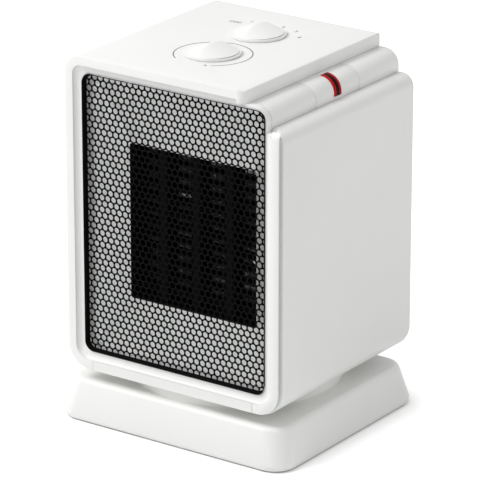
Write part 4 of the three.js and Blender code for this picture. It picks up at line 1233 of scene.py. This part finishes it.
rear_places = [(-79.85, 243.0), (-79.85, 58.5), (77.35, 213.6), (77.35, 58.5)]
for number, (x, z) in enumerate(rear_places, start=1):
    make_screw(f"screw_rear_{number}", "head", f"rear_screw_{number}", -90, (x, 81.15, z), 11)
base_places = [(-74, -44), (-74, 44), (74, -44), (74, 44)]
for number, (x, y) in enumerate(base_places, start=1):
    make_screw(f"screw_base_{number}", "base", f"base_screw_{number}", 180, (x, y, 1.8), 12)

# %% [markdown]
# One broad lamp stands high on the left in front. It lights the top most, then the grille's
# side. A weak one on the right helps the light of the room on the side panel.
# The floor is a matt white that keeps the heater's shadow. What the camera sees of it, and
# what shiny parts mirror, is lifted a little, so that it joins the white of the room. Next to
# the heater ambient occlusion fades that lift, a painted contact shadow on top of the real one.

# %% Floor, world and lamps
put_down()
bpy.ops.mesh.primitive_plane_add(size=12)
floor = bpy.context.object
floor.name = "floor"
floor_finish = bpy.data.materials.new("floor_white")
floor_finish.use_nodes = True
tree = floor_finish.node_tree
tree.nodes.clear()
surface_out = add_node(tree, "ShaderNodeOutputMaterial")
plain = add_node(tree, "ShaderNodeBsdfDiffuse")
plain.inputs["Color"].default_value = (0.93, 0.93, 0.93, 1)
lift = add_node(tree, "ShaderNodeEmission")
lift.inputs["Color"].default_value = (1, 1, 1, 1)
rays = add_node(tree, "ShaderNodeLightPath")
seen = sums(tree, "MAXIMUM", (rays, "Is Camera Ray"), (rays, "Is Glossy Ray"))
seen = sums(tree, "MAXIMUM", (seen, 0), (rays, "Is Transmission Ray"))
FLOOR_LIFT = 0.55
# Painted contact shadow: ambient occlusion fades the lift next to the heater, darkening the floor
# round its foot
near = add_node(tree, "ShaderNodeAmbientOcclusion", samples=16)
near.inputs["Distance"].default_value = 0.02
painted_shadow_fade = sums(tree, "POWER", (near, "AO"), 2.0)
lifted = sums(tree, "MULTIPLY", (seen, 0), (painted_shadow_fade, 0))
lifted = sums(tree, "MULTIPLY", (lifted, 0), FLOOR_LIFT)
wire(tree, lifted, 0, lift, "Strength")
both = add_node(tree, "ShaderNodeAddShader")
tree.links.new(plain.outputs["BSDF"], both.inputs[0])
tree.links.new(lift.outputs["Emission"], both.inputs[1])
wire(tree, both, "Shader", surface_out, "Surface")
floor.data.materials.append(floor_finish)

world = bpy.data.worlds.new("studio")
bpy.context.scene.world = world
world.use_nodes = True
tree = world.node_tree
tree.nodes.clear()
world_out = add_node(tree, "ShaderNodeOutputWorld")
soft = add_node(tree, "ShaderNodeBackground", Strength=0.55)
bright = add_node(tree, "ShaderNodeBackground", Strength=1.0)
soft.inputs["Color"].default_value = (1, 1, 1, 1)
bright.inputs["Color"].default_value = (1, 1, 1, 1)
rays = add_node(tree, "ShaderNodeLightPath")
seen = sums(tree, "MAXIMUM", (rays, "Is Camera Ray"), (rays, "Is Glossy Ray"))
seen = sums(tree, "MAXIMUM", (seen, 0), (rays, "Is Transmission Ray"))
blend = add_node(tree, "ShaderNodeMixShader")
wire(tree, seen, 0, blend, "Fac")
tree.links.new(soft.outputs["Background"], blend.inputs[1])
tree.links.new(bright.outputs["Background"], blend.inputs[2])
wire(tree, blend, "Shader", world_out, "Surface")


def add_lamp(name, azimuth_degrees, elevation_degrees, distance, size, power):
    turn = math.radians(azimuth_degrees)
    rise = math.radians(elevation_degrees)
    towards = Vector(
        (math.sin(turn) * math.cos(rise), -math.cos(turn) * math.cos(rise), math.sin(rise))
    )
    bpy.ops.object.light_add(type="AREA", location=Vector((0, 0, 0.13)) + towards * distance)
    lamp = bpy.context.object
    lamp.name = name
    lamp.rotation_mode = "QUATERNION"
    lamp.rotation_quaternion = (-towards).to_track_quat("-Z", "Y")
    lamp.data.shape = "DISK"
    lamp.data.size = size
    lamp.data.energy = power
    return lamp


put_down()
add_lamp("key_lamp", -45, 50, 2.2, 1.1, 31)
add_lamp("side_lamp", 100, 22, 2.2, 1.4, 3.8)
bpy.context.scene.view_settings.view_transform = "Standard"
